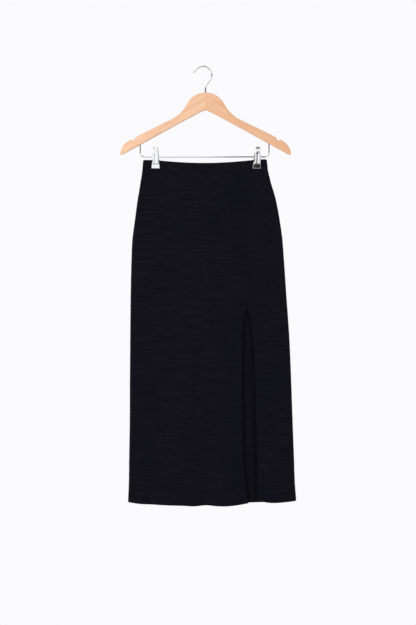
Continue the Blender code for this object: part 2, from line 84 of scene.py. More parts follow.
# Its columns: those round a side fold and the shares beside the seam there, and those on the turned slit
# edge and what the first of them lose. Where the seam above the slit joins the panels, they lose less.
ROUND_COLUMNS = 10
SIDE_SHARES = (0.60, 0.92)
SLIT_COLUMNS = (0.0, 0.5, 1.2, 4.5, 8.0, SLIT_STITCH_AT, SEAM_TURN)
SLIT_LOSSES = (0.58, 0.20, 0.06)
JOINED_LOSS = 0.2
JOINED_FADE = 30.0

# The skirt's outline as it hangs: drop below the waist, left edge, right edge, half depth.
SECTIONS = np.array((
    (0, -155.8, 166.0, 6.2),
    (26, -157.9, 168.9, 6.8),
    (52, -161.7, 174.6, 7.3),
    (104, -170.2, 189.4, 8.0),
    (156, -177.2, 199.3, 8.4),
    (208, -184.0, 206.7, 8.7),
    (260, -186.2, 210.6, 8.8),
    (364, -188.5, 217.8, 8.8),
    (468, -189.5, 225.0, 8.8),
    (572, -190.3, 229.4, 8.9),
    (676, -190.6, 233.2, 9.1),
    (780, -192.3, 236.9, 9.4),
    (845, -193.3, 239.3, 9.7),
    (SKIRT_LENGTH, -195.2, 242.6, 9.9),
))
# How far the front hem hangs past the plain length: x, extra drop.
FRONT_HEM = np.array((
    (-193, 1.2),
    (-164, 5.4),
    (-138, 6.8),
    (-86, 9.3),
    (-54, 9.7),
    (-22, 11.2),
    (8, 8.9),
    (40, 11.1),
    (70, 10.6),
    (96, 7.7),
    (119, 3.2),
    (138, -2.6),
    (150, -1.5),
    (164, 1.2),
    (182, 2.8),
    (213, 1.4),
    (242, -2.5),
))
# The seam between the two front panels runs straight down to the slit, whose two edges then part: drop,
# left edge, right edge.
SEAM_TOP_X = 104.0
SLIT_TOP = 384.0
SLIT_EDGES = np.array((
    (SLIT_TOP, 114.0, 114.0),
    (400, 108.6, 119.6),
    (442, 104.6, 126.0),
    (494, 102.2, 131.4),
    (572, 101.2, 135.2),
    (676, 102.4, 138.6),
    (754, 104.0, 140.0),
    (800, 106.8, 140.4),
    (852, 112.6, 140.8),
    (SKIRT_LENGTH, 117.8, 141.0),
))
# Broad soft folds: x at the top, x at the foot, start drop, end drop, half width, height out.
FRONT_FOLDS = (
    (-124, -176, 30, 430, 20, 1.6),
    (-96, -76, 60, 520, 26, -2.0),
    (-30, -42, 260, 760, 42, 1.6),
    (20, 34, 90, 560, 50, 1.8),
    (8, 6, 640, 1100, 24, -2.6),
    (-52, -48, 700, 1100, 30, 2.0),
    (62, 56, 600, 1100, 26, 2.4),
    (-128, -134, 520, 1100, 26, -2.0),
    (139, 176, 30, 420, 20, 1.6),
    (108, 104, 380, 1100, 20, -1.4),
    (162, 166, 420, 1100, 22, 1.4),
    (204, 208, 200, 1100, 18, -1.4),
    (112, 116, 352, 1000, 13, -1.2),
    (113, 113, 358, 470, 10, -1.5),
)
# Short creases between two places: x, drop, x, drop, half width, height out.
FRONT_CREASES = (
    (-116, 30, -84, 132, 5.5, -0.9),
    (-131, 32, -150, 168, 6.5, -0.8),
    (-124, 34, -118, 120, 5.0, 0.8),
    (131, 30, 98, 126, 5.5, -0.9),
    (146, 32, 166, 156, 6.5, -0.8),
    (139, 34, 134, 112, 5.0, 0.7),
    (-168, 132, -108, 150, 8.0, -0.5),
    (-176, 196, -122, 186, 8.0, 0.5),
    (190, 150, 132, 172, 8.0, -0.5),
    (-46, 64, 24, 96, 12.0, 0.5),
    (-172, 330, -168, 470, 14.0, 1.3),
    (-104, 240, -96, 420, 14.0, -0.9),
    (112, 374, 84, 318, 7.0, -0.8),
    (116, 374, 140, 312, 7.0, -0.7),
    (114, 372, 112, 290, 6.0, 0.7),
    (-76, 512, 60, 560, 16.0, -0.5),
    (-158, 560, -60, 596, 13.0, 0.5),
    (36, 730, -20, 764, 12.0, -0.6),
    (-156, 800, -160, 960, 10.0, 0.9),
    (-92, 820, -90, 960, 12.0, -0.9),
    (26, 806, 30, 960, 11.0, 0.8),
    (84, 826, 80, 960, 9.0, -0.8),
    (176, 812, 178, 960, 9.0, 0.8),
    (216, 836, 218, 960, 9.0, -0.7),
)
FRONT_HANG = (FRONT_FOLDS, FRONT_CREASES, FRONT_HEM)
# Uneven patterns in the cloth's form: how far the yarn's rows wander, how they stand out, and the gathers
# under the band. Height, cell across, cell down, seed.
YARN_WANDER = ((5.0, 90.0, 60.0, 3),)
YARN_RELIEF = ((0.20, 42.0, 4.6, 0), (0.10, 19.0, 3.1, 1))
GATHERS = ((0.28, 5.5, 70.0, 2),)
GATHERS_FADE = 22.0
# The knit's tones, the width and the height of its loops, and its patterns: cells a metre across, cells a
# metre down, detail, layer.
KNIT_DARK = (0.0032, 0.0029, 0.0051, 1.0)
KNIT_LIGHT = (0.0070, 0.0063, 0.0108, 1.0)
KNIT_COOL = (0.0038, 0.0038, 0.0096, 1.0)
WALE = 1.25
COURSE = 1.05
LOOP_SLANT = 1.3
LOOP_HEIGHT = 0.16
WALE_GROOVE = 3.0
ROW_WANDER = (9.0, 12.0, 1.0, 0.0)
ROW_WANDER_HEIGHT = 0.012
LONG_STREAKS = (16.0, 190.0, 3.0, 0.0)
SHORT_STREAKS = (48.0, 420.0, 2.0, 4.0)
COOL_PATCHES = (5.0, 4.0, 1.0, 9.0)


def smooth_step(value, start, end):
    share = np.clip((value - start) / (end - start), 0.0, 1.0)
    return share * share * (3.0 - 2.0 * share)


def between(value, rise, fall):
    """A share that comes up over one stretch and goes down again over another."""
    return smooth_step(value, *rise) * (1.0 - smooth_step(value, *fall))


def along(table, column, place):
    """A column of a table at these places in its first column, by a smooth curve through its rows."""
    place = np.asarray(place, float)
    places, values = table[:, 0], table[:, column]
    slopes = np.gradient(values, places)
    row = np.clip(np.searchsorted(places, place) - 1, 0, len(places) - 2)
    step = places[row + 1] - places[row]
    share = np.clip((place - places[row]) / step, 0.0, 1.0)
    square, cube = share**2, share**3
    return (
        (2 * cube - 3 * square + 1) * values[row]
        + (cube - 2 * square + share) * step * slopes[row]
        + (3 * square - 2 * cube) * values[row + 1]
        + (cube - square) * step * slopes[row + 1]
    )


def pinch(x, drop):
    """How much of its fullness the cloth keeps: all of it far from the clips, and none inside them."""
    reach = PINCH_REACH + PINCH_SPREAD * np.maximum(drop - BAND_HEIGHT, 0.0)
    hold = 1.0 - smooth_step(drop, BAND_HEIGHT, BAND_HEIGHT + PINCH_FADE)
    kept = 1.0
    for clip_x in CLIP_AT:
        beyond = np.maximum(np.abs(x - clip_x) - PINCH_HALF_WIDTH, 0.0)
        kept = kept * (1.0 - hold * np.exp(-((beyond / reach) ** 2)))
    return kept


def fold_height(hang, x, drop):
    """How far the folds and creases bring the cloth out."""
    folds, creases, _ = hang
    total = np.zeros(np.broadcast(x, drop).shape)
    for top_x, foot_x, start, end, half_width, height in folds:
        centre = top_x + (foot_x - top_x) * (drop - start) / (end - start)
        ease = FOLD_EASE * (end - start)
        window = between(drop, (start, start + ease), (end - ease, end))
        total += height * window * np.exp(-(((x - centre) / half_width) ** 2))
    for from_x, from_drop, to_x, to_drop, half_width, height in creases:
        run = np.array((to_x - from_x, to_drop - from_drop))
        share = ((x - from_x) * run[0] + (drop - from_drop) * run[1]) / (run @ run)
        share = np.clip(share, 0.0, 1.0)
        away = np.hypot(x - from_x - share * run[0], drop - from_drop - share * run[1])
        total += height * np.sin(math.pi * share) * np.exp(-((away / half_width) ** 2))
    return total


def stand_off(x, drop, hang):
    """How far the cloth's middle stands from Y = 0, folds and all."""
    left, right = along(SECTIONS, 1, drop), along(SECTIONS, 2, drop)
    across = (2 * x - left - right) / (right - left)
    full = along(SECTIONS, 3, drop) * (1.0 - SIDE_FLATTENING * across**2) + fold_height(hang, x, drop)
    return PINCHED_DEPTH + (full - PINCHED_DEPTH) * pinch(x, drop)


def height_at(x, drop, hang):
    """Z at this drop: the waist sags at the top, and the hem's own line takes over below."""
    from_middle = (2 * x - sum(CLIP_AT)) / (CLIP_AT[1] - CLIP_AT[0])
    waist = WAIST_SAG * np.maximum(1.0 - from_middle**2, 0.0)
    low = drop / SKIRT_LENGTH
    return WAIST_Z - drop + (WAIST_LEAN * x - waist) * (1.0 - low) - along(hang[2], 1, x) * low**3


def side_fold(drop, side, face, hang, wall, turns):
    """The rounded fold at the left (side -1) or the right (side 1): turn 0 is where the flat of the cloth
    ends, and turn 1 is the side seam. It gives the points and their place across the cloth."""
    edge = along(SECTIONS, 1 if side < 0 else 2, drop)
    radius = SIDE_ROUND * along(SECTIONS, 3, drop)
    angle = turns[None, :] * math.pi / 2
    x = edge - side * (wall / 2 + radius * (1.0 - np.sin(angle)))
    y = np.maximum(stand_off(x, drop, hang) * np.cos(angle), SEAM_GAP / 2)
    across = edge - side * (wall / 2 + radius) + side * radius * angle
    return np.stack((x, face * y, height_at(x, drop, hang)), axis=-1), across


def cloth_grid(face, drops, start, end, columns, hang, wall):
    """A grid of points from left to right and from top to bottom, with each one's place across. Without a
    start or an end it runs round to the side seam."""
    drop = np.asarray(drops, float)[:, None]
    inset = SIDE_ROUND * along(SECTIONS, 3, drop) + wall / 2
    first = start(drop) if start else along(SECTIONS, 1, drop) + inset
    last = end(drop) if end else along(SECTIONS, 2, drop) - inset
    begin = first + (SEAM_TURN + TURN_STEP) * bool(start)
    finish = last - (SEAM_TURN + TURN_STEP) * bool(end)
    flat = begin + (finish - begin) * np.linspace(0.0, 1.0, columns + 1)[None, :]
    if start:
        flat = np.concatenate((first + np.array(SLIT_COLUMNS), flat), axis=1)
    if end:
        flat = np.concatenate((flat, last - np.array(SLIT_COLUMNS[::-1])), axis=1)
    y = face * stand_off(flat, drop, hang)
    parts = [(np.stack((flat, y, height_at(flat, drop, hang)), axis=-1), flat)]
    turns = 1.0 - np.arange(ROUND_COLUMNS) / ROUND_COLUMNS
    if not start:
        parts.insert(0, side_fold(drop, -1, face, hang, wall, turns))
    if not end:
        parts.append(side_fold(drop, 1, face, hang, wall, turns[::-1]))
    points, across = zip(*parts)
    return np.concatenate(points, axis=1), np.concatenate(across, axis=1)


def tangents(grid, axis, ring=False):
    """Directions along one axis of a grid of points, each side weighed by how near its neighbour is."""
    if ring:
        after = np.roll(grid, -1, axis=axis) - grid
        before = grid - np.roll(grid, 1, axis=axis)
    else:
        steps = np.diff(grid, axis=axis)
        first, last = np.take(steps, [0], axis=axis), np.take(steps, [-1], axis=axis)
        after = np.concatenate((steps, last), axis=axis)
        before = np.concatenate((first, steps), axis=axis)
    near = np.linalg.norm(after, axis=2, keepdims=True)
    far = np.linalg.norm(before, axis=2, keepdims=True)
    return after / near * far + before / far * near


def grid_normals(grid, face, ring=False):
    normals = np.cross(tangents(grid, 1, ring), tangents(grid, 0)) * face
    return normals / np.linalg.norm(normals, axis=2, keepdims=True)


def uneven(across, down, cell_across, cell_down, seed):
    """Smooth random heights from -1 to 1 with cells of this size."""
    size = 256
    table = np.random.default_rng(seed).uniform(-1.0, 1.0, (size, size))
    i, j = across / cell_across, down / cell_down
    column, row = np.floor(i).astype(int), np.floor(j).astype(int)
    u, v = smooth_step(i - column, 0.0, 1.0), smooth_step(j - row, 0.0, 1.0)

    def corner(step_across, step_down):
        return table[(column + step_across) % size, (row + step_down) % size]

    near = corner(0, 0) * (1 - u) + corner(1, 0) * u
    return near * (1 - v) + (corner(0, 1) * (1 - u) + corner(1, 1) * u) * v


def relief(patterns, across, down, seed=0):
    """The sum of some uneven patterns, each a row of a table."""
    return sum(
        height * uneven(across, down, cell_across, cell_down, seed + own_seed)
        for height, cell_across, cell_down, own_seed in patterns
    )


def slub(across, drop, seed):
    """The relief of the uneven yarn, and of the slight gathers under the waistband."""
    wander = relief(YARN_WANDER, across, drop, seed)
    yarn = relief(YARN_RELIEF, across, drop + wander, seed)
    gathers = relief(GATHERS, across, drop, seed)
    return yarn + gathers * np.exp(-(((drop - BAND_HEIGHT) / GATHERS_FADE) ** 2))


def placed(name, data):
    """A new object in the scene."""
    obj = bpy.data.objects.new(name, data)
    bpy.context.scene.collection.objects.link(obj)
    return obj


def cloth_shell(name, face, outer, inner, across, down, ring=False):
    """A closed wall between two grids, with a UV map that holds each corner's place in the cloth in metres.
    A ring's last column meets its first."""
    rows, columns = outer.shape[:2]
    spans = columns if ring else columns - 1
    faces = []

    def add(corners, r, c):
        """Faces at grid places r, c: each corner is its layer, its step down and its step across."""
        r, c = (v.ravel() for v in np.broadcast_arrays(r, c))
        face_corners = [np.stack((0 * r + k, r + i, c + j), axis=-1) for k, i, j in corners]
        faces.append(np.stack(face_corners, axis=1))

    r, c = np.mgrid[0 : rows - 1, 0:spans]
    add(((0, 0, 0), (0, 0, 1), (0, 1, 1), (0, 1, 0)), r, c)
    add(((1, 1, 0), (1, 1, 1), (1, 0, 1), (1, 0, 0)), r, c)
    add(((0, 0, 0), (1, 0, 0), (1, 0, 1), (0, 0, 1)), 0, np.arange(spans))
    add(((0, 0, 1), (1, 0, 1), (1, 0, 0), (0, 0, 0)), rows - 1, np.arange(spans))
    if not ring:
        add(((0, 0, 0), (0, 1, 0), (1, 1, 0), (1, 0, 0)), np.arange(rows - 1), 0)
        add(((1, 0, 0), (1, 1, 0), (0, 1, 0), (0, 0, 0)), np.arange(rows - 1), columns - 1)
    corners = np.concatenate(faces)
    if face == FRONT_FACE:
        corners = corners[:, ::-1]
    layer, row, column = corners[..., 0], corners[..., 1], corners[..., 2]
    vertex = layer * rows * columns + row * columns + column % columns
    points = np.concatenate((outer.reshape(-1, 3), inner.reshape(-1, 3))) * MM
    mesh = bpy.data.meshes.new(name)
    mesh.from_pydata(points.tolist(), [], vertex.tolist())
    places = mesh.uv_layers.new(name="cloth")
    uv = np.stack((across[row, column], down[row, column]), axis=-1).reshape(-1)
    places.data.foreach_set("uv", (uv * MM).astype(np.float32))
    mesh.shade_smooth()
    return placed(name, mesh)


def feed(tree, node, inputs):
    """Gives a node its inputs, by name or number: each is a value, or another node's output to link."""
    for place, value in inputs.items():
        if isinstance(value, bpy.types.NodeSocket):
            tree.links.new(value, node.inputs[place])
        else:
            node.inputs[place].default_value = value
    return node


def add_node(tree, kind, inputs, **settings):
    """A new node with these settings and inputs."""
    node = tree.nodes.new(kind)
    for name, value in settings.items():
        setattr(node, name, value)
    return feed(tree, node, inputs)


def calc(tree, operation, *values):
    """A Math node's result: each value is a number or another node's output."""
    return add_node(tree, "ShaderNodeMath", dict(enumerate(values)), operation=operation).outputs[0]


def weighed(tree, first, first_share, second, second_share):
    """The sum of two outputs, each times its share."""
    first = calc(tree, "MULTIPLY", first, first_share)
    second = calc(tree, "MULTIPLY", second, second_share)
    return calc(tree, "ADD", first, second)


def noise(tree, across, down, across_scale, down_scale, detail, layer):
    """A noise texture over two coordinates, each with a scale of its own. Each layer looks different."""
    place = add_node(tree, "ShaderNodeCombineXYZ", {
        "X": calc(tree, "MULTIPLY", across, across_scale),
        "Y": calc(tree, "MULTIPLY", down, down_scale),
        "Z": layer,
    })
    inputs = {"Vector": place.outputs[0], "Scale": 1.0, "Detail": detail, "Roughness": 0.6}
    return add_node(tree, "ShaderNodeTexNoise", inputs).outputs[0]


def mixed(tree, share, first, second):
    """A colour between two, each a colour or another node's output."""
    inputs = {0: share, 6: first, 7: second}
    return add_node(tree, "ShaderNodeMix", inputs, data_type="RGBA").outputs[2]


def remapped(tree, value, low, high, to_low, to_high):
    inputs = dict(enumerate((value, low, high, to_low, to_high)))
    return add_node(tree, "ShaderNodeMapRange", inputs).outputs[0]


def bumped(tree, shader, height, distance, strength):
    inputs = {"Height": height, "Distance": distance, "Strength": strength}
    feed(tree, shader, {"Normal": add_node(tree, "ShaderNodeBump", inputs).outputs[0]})


def new_finish(name):
    """A new material, with its tree and its shader."""
    made = bpy.data.materials.new(name)
    made.use_nodes = True
    return made, made.node_tree, made.node_tree.nodes["Principled BSDF"]


def map_places(tree, name):
    """The two coordinates of a UV map, in metres."""
    uv = add_node(tree, "ShaderNodeUVMap", {}, uv_map=name)
    return add_node(tree, "ShaderNodeSeparateXYZ", {0: uv.outputs[0]}).outputs[:2]


def black_knit():
    """Fine black jersey: small V-shaped loops, rows of uneven yarn in crosswise streaks, a faint bloom."""
    made, tree, shader = new_finish("black_knit")
    across, down = map_places(tree, "cloth")

    # The streaks wander a little, as the rows do in soft cloth.
    wander = calc(tree, "MULTIPLY", noise(tree, across, down, *ROW_WANDER), ROW_WANDER_HEIGHT)
    row = calc(tree, "ADD", down, wander)
    long_streak = noise(tree, across, row, *LONG_STREAKS)
    streak = weighed(tree, long_streak, 1.0, noise(tree, across, row, *SHORT_STREAKS), 0.7)
    share = remapped(tree, streak, 0.62, 1.08, 0.0, 1.0)
    cool = remapped(tree, noise(tree, across, down, *COOL_PATCHES), 0.45, 0.75, 0.0, 0.6)

    # Loops: each wale is a column of V shapes, and a thicker yarn stands higher.
    wale = calc(tree, "DIVIDE", across, WALE * MM)
    slope = calc(tree, "ABSOLUTE", calc(tree, "SUBTRACT", calc(tree, "FRACT", wale), 0.5))
    turn = weighed(tree, calc(tree, "DIVIDE", row, COURSE * MM), 1.0, slope, LOOP_SLANT)
    loop = calc(tree, "SINE", calc(tree, "MULTIPLY", turn, math.tau))
    yarn = weighed(tree, loop, LOOP_HEIGHT, calc(tree, "POWER", slope, 2.0), -WALE_GROOVE)
    bumped(tree, shader, weighed(tree, streak, 1.1, yarn, 0.5), distance=0.0004, strength=0.8)

    feed(tree, shader, {
        "Base Color": mixed(tree, cool, mixed(tree, share, KNIT_DARK, KNIT_LIGHT), KNIT_COOL),
        "Roughness": remapped(tree, share, 0.0, 1.0, 0.95, 0.80),
        "Specular IOR Level": 0.07,
        "Sheen Weight": 0.05,
        "Sheen Roughness": 0.45,
        "Sheen Tint": (0.62, 0.62, 0.80, 1.0),
    })
    return made


KNIT = black_knit()


def panel(name, node, face, columns, hang, seed, shift=0.0, seam_left=None, seam_right=None):
    """A panel from the waistband to the hem, double where its hem and its slit edge turn in. It gives the
    object, and its outer surface and normals by row and column for the stitches that lie on it."""
    top, foot = BAND_HEIGHT + SEAM_GAP, SKIRT_LENGTH - HEM_TURN
    drops = [top + at for at, _ in TOP_ROWS]
    drops += list(np.linspace(top + FLAT_ROWS_FROM, foot - TURN_STEP, FLAT_ROWS))
    drops += sorted([foot] + [SKIRT_LENGTH - at for at in HEM_STITCH_AT])
    drops += list(SKIRT_LENGTH - np.linspace(*TURNED_ROWS)) + [SKIRT_LENGTH - at for at, _ in HEM_ROWS]
    drop = np.array(drops)[:, None]
    grid, across = cloth_grid(face, drops, seam_left, seam_right, columns, hang, CLOTH_WALL)
    normals = grid_normals(grid, face)
    # At a side seam the panel's edge faces straight sideways, flush with the edge that it meets.
    for column, seam in ((0, seam_left), (-1, seam_right)):
        if seam is None:
            normals[:, column] *= (1.0, 0.0, 1.0)
            normals[:, column] /= np.linalg.norm(normals[:, column], axis=1, keepdims=True)

    plies = np.ones(grid.shape[:2])
    plies[np.array(drops) >= foot] = 2
    thin = np.ones(grid.shape[:2])
    thin[: len(TOP_ROWS)] *= np.array(TOP_ROWS)[:, 1:]
    thin[-len(HEM_ROWS) :] *= np.array(HEM_ROWS)[:, 1:]
    loss = JOINED_LOSS + (1.0 - JOINED_LOSS) * smooth_step(drop, SLIT_TOP - JOINED_FADE, SLIT_TOP)
    for seam, inward in ((seam_left, 1), (seam_right, -1)):
        # The same tables, with their columns counted from this edge inwards.
        edge_plies, edge_thin = plies[:, ::inward], thin[:, ::inward]
        if seam:
            edge_plies[:, : len(SLIT_COLUMNS)] = 2
            edge_thin[:, : len(SLIT_LOSSES)] *= 1.0 - loss * np.array(SLIT_LOSSES)
        else:
            edge_thin[:, : len(SIDE_SHARES)] *= SIDE_SHARES
    middle = CLOTH_WALL * (1.0 - plies) / 2 + slub(across, drop, seed)
    half = CLOTH_WALL * plies / 2 * thin
    outer = grid + normals * (middle + half)[..., None]
    inner = grid + normals * (middle - half)[..., None]
    obj = cloth_shell(name, face, outer, inner, across + shift, drop + 0 * across)
    obj.data.materials.append(KNIT)
    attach(obj, "root")
    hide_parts(node)
    return obj, outer, normals, drops


def front_edge(column, side):
    """Where a front panel ends at each drop: close to the seam, and on down the slit's own edge."""

    def edge(drop):
        seam = SEAM_TOP_X + (SLIT_EDGES[0, column] - SEAM_TOP_X) * drop / SLIT_TOP
        return np.where(drop < SLIT_TOP, seam, along(SLIT_EDGES, column, drop)) + side * SEAM_CLOSED / 2

    return edge


front, front_outer, front_normals, panel_drops = panel(
    "front_cloth", "front_panel", FRONT_FACE, columns=105, hang=FRONT_HANG, seed=11,
    seam_right=front_edge(1, -1),
)

# --- Side front panel ---
# The narrow front beyond the slit, cut of the same jersey and joined to the main front above the slit. Its
# slit edge is turned in and stitched as the other one is.

side_front, side_outer, side_normals, _ = panel(
    "side_front_cloth", "side_front_panel", FRONT_FACE, columns=34, hang=FRONT_HANG, seed=11,
    seam_left=front_edge(2, 1),
)

# --- Back panel ---
# The whole back in one piece, from side seam to side seam, with a plain turned hem. Its folds differ from
# the front's, and its inner side shows through the slit.

# Its hem, folds and creases, with the same columns as the front's.
BACK_HEM = np.array((
    (-193, 1.2),
    (-90, 6.0),
    (20, 7.0),
    (125, 2.9),
    (190, 2.0),
    (242, -2.5),
))
BACK_FOLDS = (
    (-124, -158, 30, 420, 22, 1.6),
    (139, 172, 30, 440, 22, 1.6),
    (-60, -72, 140, 700, 38, -1.8),
    (6, -4, 80, 600, 46, 1.8),
    (82, 96, 200, 700, 30, -1.4),
    (-110, -122, 480, 1100, 28, 2.2),
    (30, 36, 620, 1100, 30, -2.2),
    (104, 126, 60, 1300, 36, -5.6),
    (182, 190, 420, 1100, 24, 1.8),
    (-14, -24, 740, 1100, 22, 2.0),
    (113, 114, 340, 560, 18, -2.2),
)
BACK_CREASES = (
    (-116, 30, -78, 140, 6.0, -0.9),
    (-132, 32, -154, 150, 6.0, -0.8),
    (-124, 34, -128, 112, 5.0, 0.8),
    (130, 30, 94, 138, 6.0, -0.9),
    (148, 32, 170, 164, 6.5, -0.8),
    (-160, 140, -96, 164, 9.0, -0.5),
    (186, 176, 120, 190, 9.0, 0.5),
    (-30, 70, 60, 104, 12.0, 0.5),
    (-80, 400, 70, 436, 15.0, -0.5),
    (160, 520, 40, 566, 14.0, 0.5),
    (-140, 640, -40, 660, 12.0, -0.5),
    (-150, 806, -154, 960, 10.0, 0.9),
    (-66, 820, -64, 960, 12.0, -0.9),
    (72, 812, 76, 960, 10.0, 0.8),
    (180, 830, 184, 960, 10.0, -0.8),
)
BACK_HANG = (BACK_FOLDS, BACK_CREASES, BACK_HEM)
# Where the back and the band begin in the cloth's pattern, so that they don't repeat the front.
BACK_SHIFT = 1000.0
BAND_SHIFT = 2000.0

back, back_outer, back_normals, _ = panel(
    "back_cloth", "back_panel", BACK_FACE, columns=140, hang=BACK_HANG, seed=47, shift=BACK_SHIFT
)

# --- Waistband ---
# One band of the same jersey folded over an elastic, closed into a ring and sewn to the panels' tops. It
# is drawn in a little, so it has small upright puckers, and the clips press it flat.

BAND_WALL = 2.4
BAND_CORNER = 4.0
BAND_COLUMNS = 118
# Rows of the band: drop, share of its thickness.
BAND_ROWS = np.array((
    (0.0, 0.34),
    (0.35, 0.72),
    (0.9, 0.93),
    (1.8, 1.0),
    *((drop, 1.0) for drop in range(4, 20, 3)),
    (21.5, 1.0),
    (22.8, 0.97),
    (23.5, 0.84),
    (BAND_HEIGHT, 0.50),
))
# Puckers: height, width, length, seed, and the drops between which they come up.
PUCKERS = ((0.16, 4.6, 34.0, 71), (0.08, 40.0, 3.6, 72))
PUCKERS_START = (0.5, 4.0)


def waistband():
    drops, shares = BAND_ROWS[:, 0], BAND_ROWS[:, 1:]
    front_side, back_side = (
        cloth_grid(face, drops, None, None, BAND_COLUMNS, ((), (), hem), BAND_WALL)[0]
        for face, hem in ((FRONT_FACE, FRONT_HEM), (BACK_FACE, BACK_HEM))
    )
    grid = np.concatenate((front_side, back_side[:, -2:0:-1]), axis=1)
    steps = np.linalg.norm(np.diff(np.concatenate((grid, grid[:, :1]), axis=1), axis=1), axis=2)
    around = np.concatenate((np.zeros((len(grid), 1)), np.cumsum(steps, axis=1)), axis=1)
    normals = grid_normals(grid, FRONT_FACE, ring=True)
    drop = drops[:, None]
    puckers = relief(PUCKERS, around[:, :-1], drop)
    puckers *= smooth_step(drop, *PUCKERS_START) * pinch(grid[..., 0], drop)
    half = BAND_WALL / 2 * shares
    outer = grid + normals * (half + puckers)[..., None]
    inner = grid - normals * (half - puckers)[..., None]
    # The top corners at the side seams are soft.
    in_from_side = np.minimum(grid[..., 0] - SECTIONS[0, 1], SECTIONS[0, 2] - grid[..., 0])
    beyond = np.clip(1.0 - in_from_side / BAND_CORNER, 0.0, 0.98)
    sunk = BAND_CORNER * (1.0 - np.sqrt(1.0 - beyond**2)) * np.maximum(1.0 - drop / (2 * BAND_CORNER), 0.0)
    outer[..., 2] -= sunk
    inner[..., 2] -= sunk
    down = drop + 0 * around
    obj = cloth_shell("waistband_cloth", FRONT_FACE, outer, inner, around + BAND_SHIFT, down, ring=True)
    obj.data.materials.append(KNIT)
    return obj


band = waistband()
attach(band, "root")
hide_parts("waistband")

# --- Stitching ---
# Black thread. Two rows hold the turned hem all round, one row holds each turned slit edge, and a short
# close bar of stitches keeps the top of the slit from tearing.

STITCH_PITCH = 3.1
STITCH_LENGTH = 2.5
STITCH_PROUD = 0.05
THREAD = 0.42
THREAD_BLACK = (0.0075, 0.0070, 0.0105, 1.0)
SLIT_ROW_START = 6.0
# The bar tack zigzags between two drops from the slit's top, and lies this far out from the cloth.
TACK_ROWS = (-3.4, -1.4)
TACK_STEPS = 36
TACK_STEP = 0.25
TACK_PROUD = 0.55


def object_noise(tree, scale, detail=2.0):
    """A noise texture fixed to the object, with this many cells a metre."""
    place = add_node(tree, "ShaderNodeTexCoord", {})
    inputs = {"Vector": place.outputs["Object"], "Scale": scale, "Detail": detail}
    return add_node(tree, "ShaderNodeTexNoise", inputs).outputs[0]


def stitch_thread():
    """Spun thread: a tight twist along its length, with a little more shine than the cloth."""
    made, tree, shader = new_finish("stitch_thread")
    twist = object_noise(tree, 1800.0)
    bumped(tree, shader, twist, distance=0.0001, strength=0.6)
    feed(tree, shader, {
        "Base Color": mixed(tree, twist, KNIT_DARK, THREAD_BLACK),
        "Roughness": remapped(tree, twist, 0.3, 0.7, 0.5, 0.8),
        "Specular IOR Level": 0.25,
    })
    return made


def stitch_tree(thread):
    """Geometry nodes that lay one stitch at each pitch along a path."""
    tree = bpy.data.node_groups.new("stitch_row", "GeometryNodeTree")
    for name, way, kind in (
        ("Path", "INPUT", "NodeSocketGeometry"),
        ("Pitch", "INPUT", "NodeSocketFloat"),
        ("Stitch length", "INPUT", "NodeSocketFloat"),
        ("Thread", "INPUT", "NodeSocketFloat"),
        ("Stitches", "OUTPUT", "NodeSocketGeometry"),
    ):
        tree.interface.new_socket(name, in_out=way, socket_type=kind)

    def step(kind, inputs, **settings):
        return add_node(tree, kind, inputs, **settings).outputs

    given = step("NodeGroupInput", {})
    path = step("GeometryNodeMeshToCurve", {"Mesh": given["Path"]})
    spots = {"Curve": path["Curve"], "Length": given["Pitch"]}
    points = step("GeometryNodeCurveToPoints", spots, mode="LENGTH")
    aim = step("FunctionNodeAlignRotationToVector", {"Vector": points["Tangent"]}, axis="X")
    bead = step("GeometryNodeMeshUVSphere", {"Segments": 6, "Rings": 5, "Radius": 0.5})
    sides = {"X": given["Stitch length"], "Y": given["Thread"], "Z": given["Thread"]}
    size = step("ShaderNodeCombineXYZ", sides)
    stitch = step("GeometryNodeTransform", {"Geometry": bead["Mesh"], "Scale": size["Vector"]})
    laid = step("GeometryNodeInstanceOnPoints", {
        "Points": points["Points"],
        "Instance": stitch["Geometry"],
        "Rotation": aim["Rotation"],
    })
    real = step("GeometryNodeRealizeInstances", {"Geometry": laid["Instances"]})
    smooth = step("GeometryNodeSetShadeSmooth", {"Geometry": real["Geometry"]})
    sewn = step("GeometryNodeSetMaterial", {"Geometry": smooth["Geometry"], "Material": thread})
    step("NodeGroupOutput", {"Stitches": sewn["Geometry"]})
    return tree


def plain_mesh(obj, name):
    """Turns what an object's modifiers or curve make into a plain mesh object of this name."""
    bpy.context.view_layer.update()
    evaluated = obj.evaluated_get(bpy.context.evaluated_depsgraph_get())
    mesh = bpy.data.meshes.new_from_object(evaluated)
    mesh.name = name
    bpy.data.objects.remove(obj, do_unlink=True)
    return placed(name, mesh)


STITCH_ROW = stitch_tree(stitch_thread())


def stitches(name, paths, pitch=STITCH_PITCH, length=STITCH_LENGTH):
    """Rows of stitches along paths of points in millimetres."""
    points, edges = [], []
    for path in paths:
        edges += [(len(points) + k, len(points) + k + 1) for k in range(len(path) - 1)]
        points += [tuple(np.asarray(point) * MM) for point in path]
    mesh = bpy.data.meshes.new(name + "_path")
    mesh.from_pydata(points, edges, [])
    obj = placed(name + "_path", mesh)
    modifier = obj.modifiers.new("stitches", "NODES")
    modifier.node_group = STITCH_ROW
    values = {"Pitch": pitch * MM, "Stitch length": length * MM, "Thread": THREAD * MM}
    for item in STITCH_ROW.interface.items_tree:
        if item.in_out == "INPUT" and item.name in values:
            modifier[item.identifier] = values[item.name]
    made = plain_mesh(obj, name)
    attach(made, "root")


def hem_rows(outer, normals):
    """The two stitch rows along a hem, half sunk into the cloth."""
    rows = [panel_drops.index(SKIRT_LENGTH - at) for at in HEM_STITCH_AT]
    return [outer[row] + STITCH_PROUD * normals[row] for row in rows]


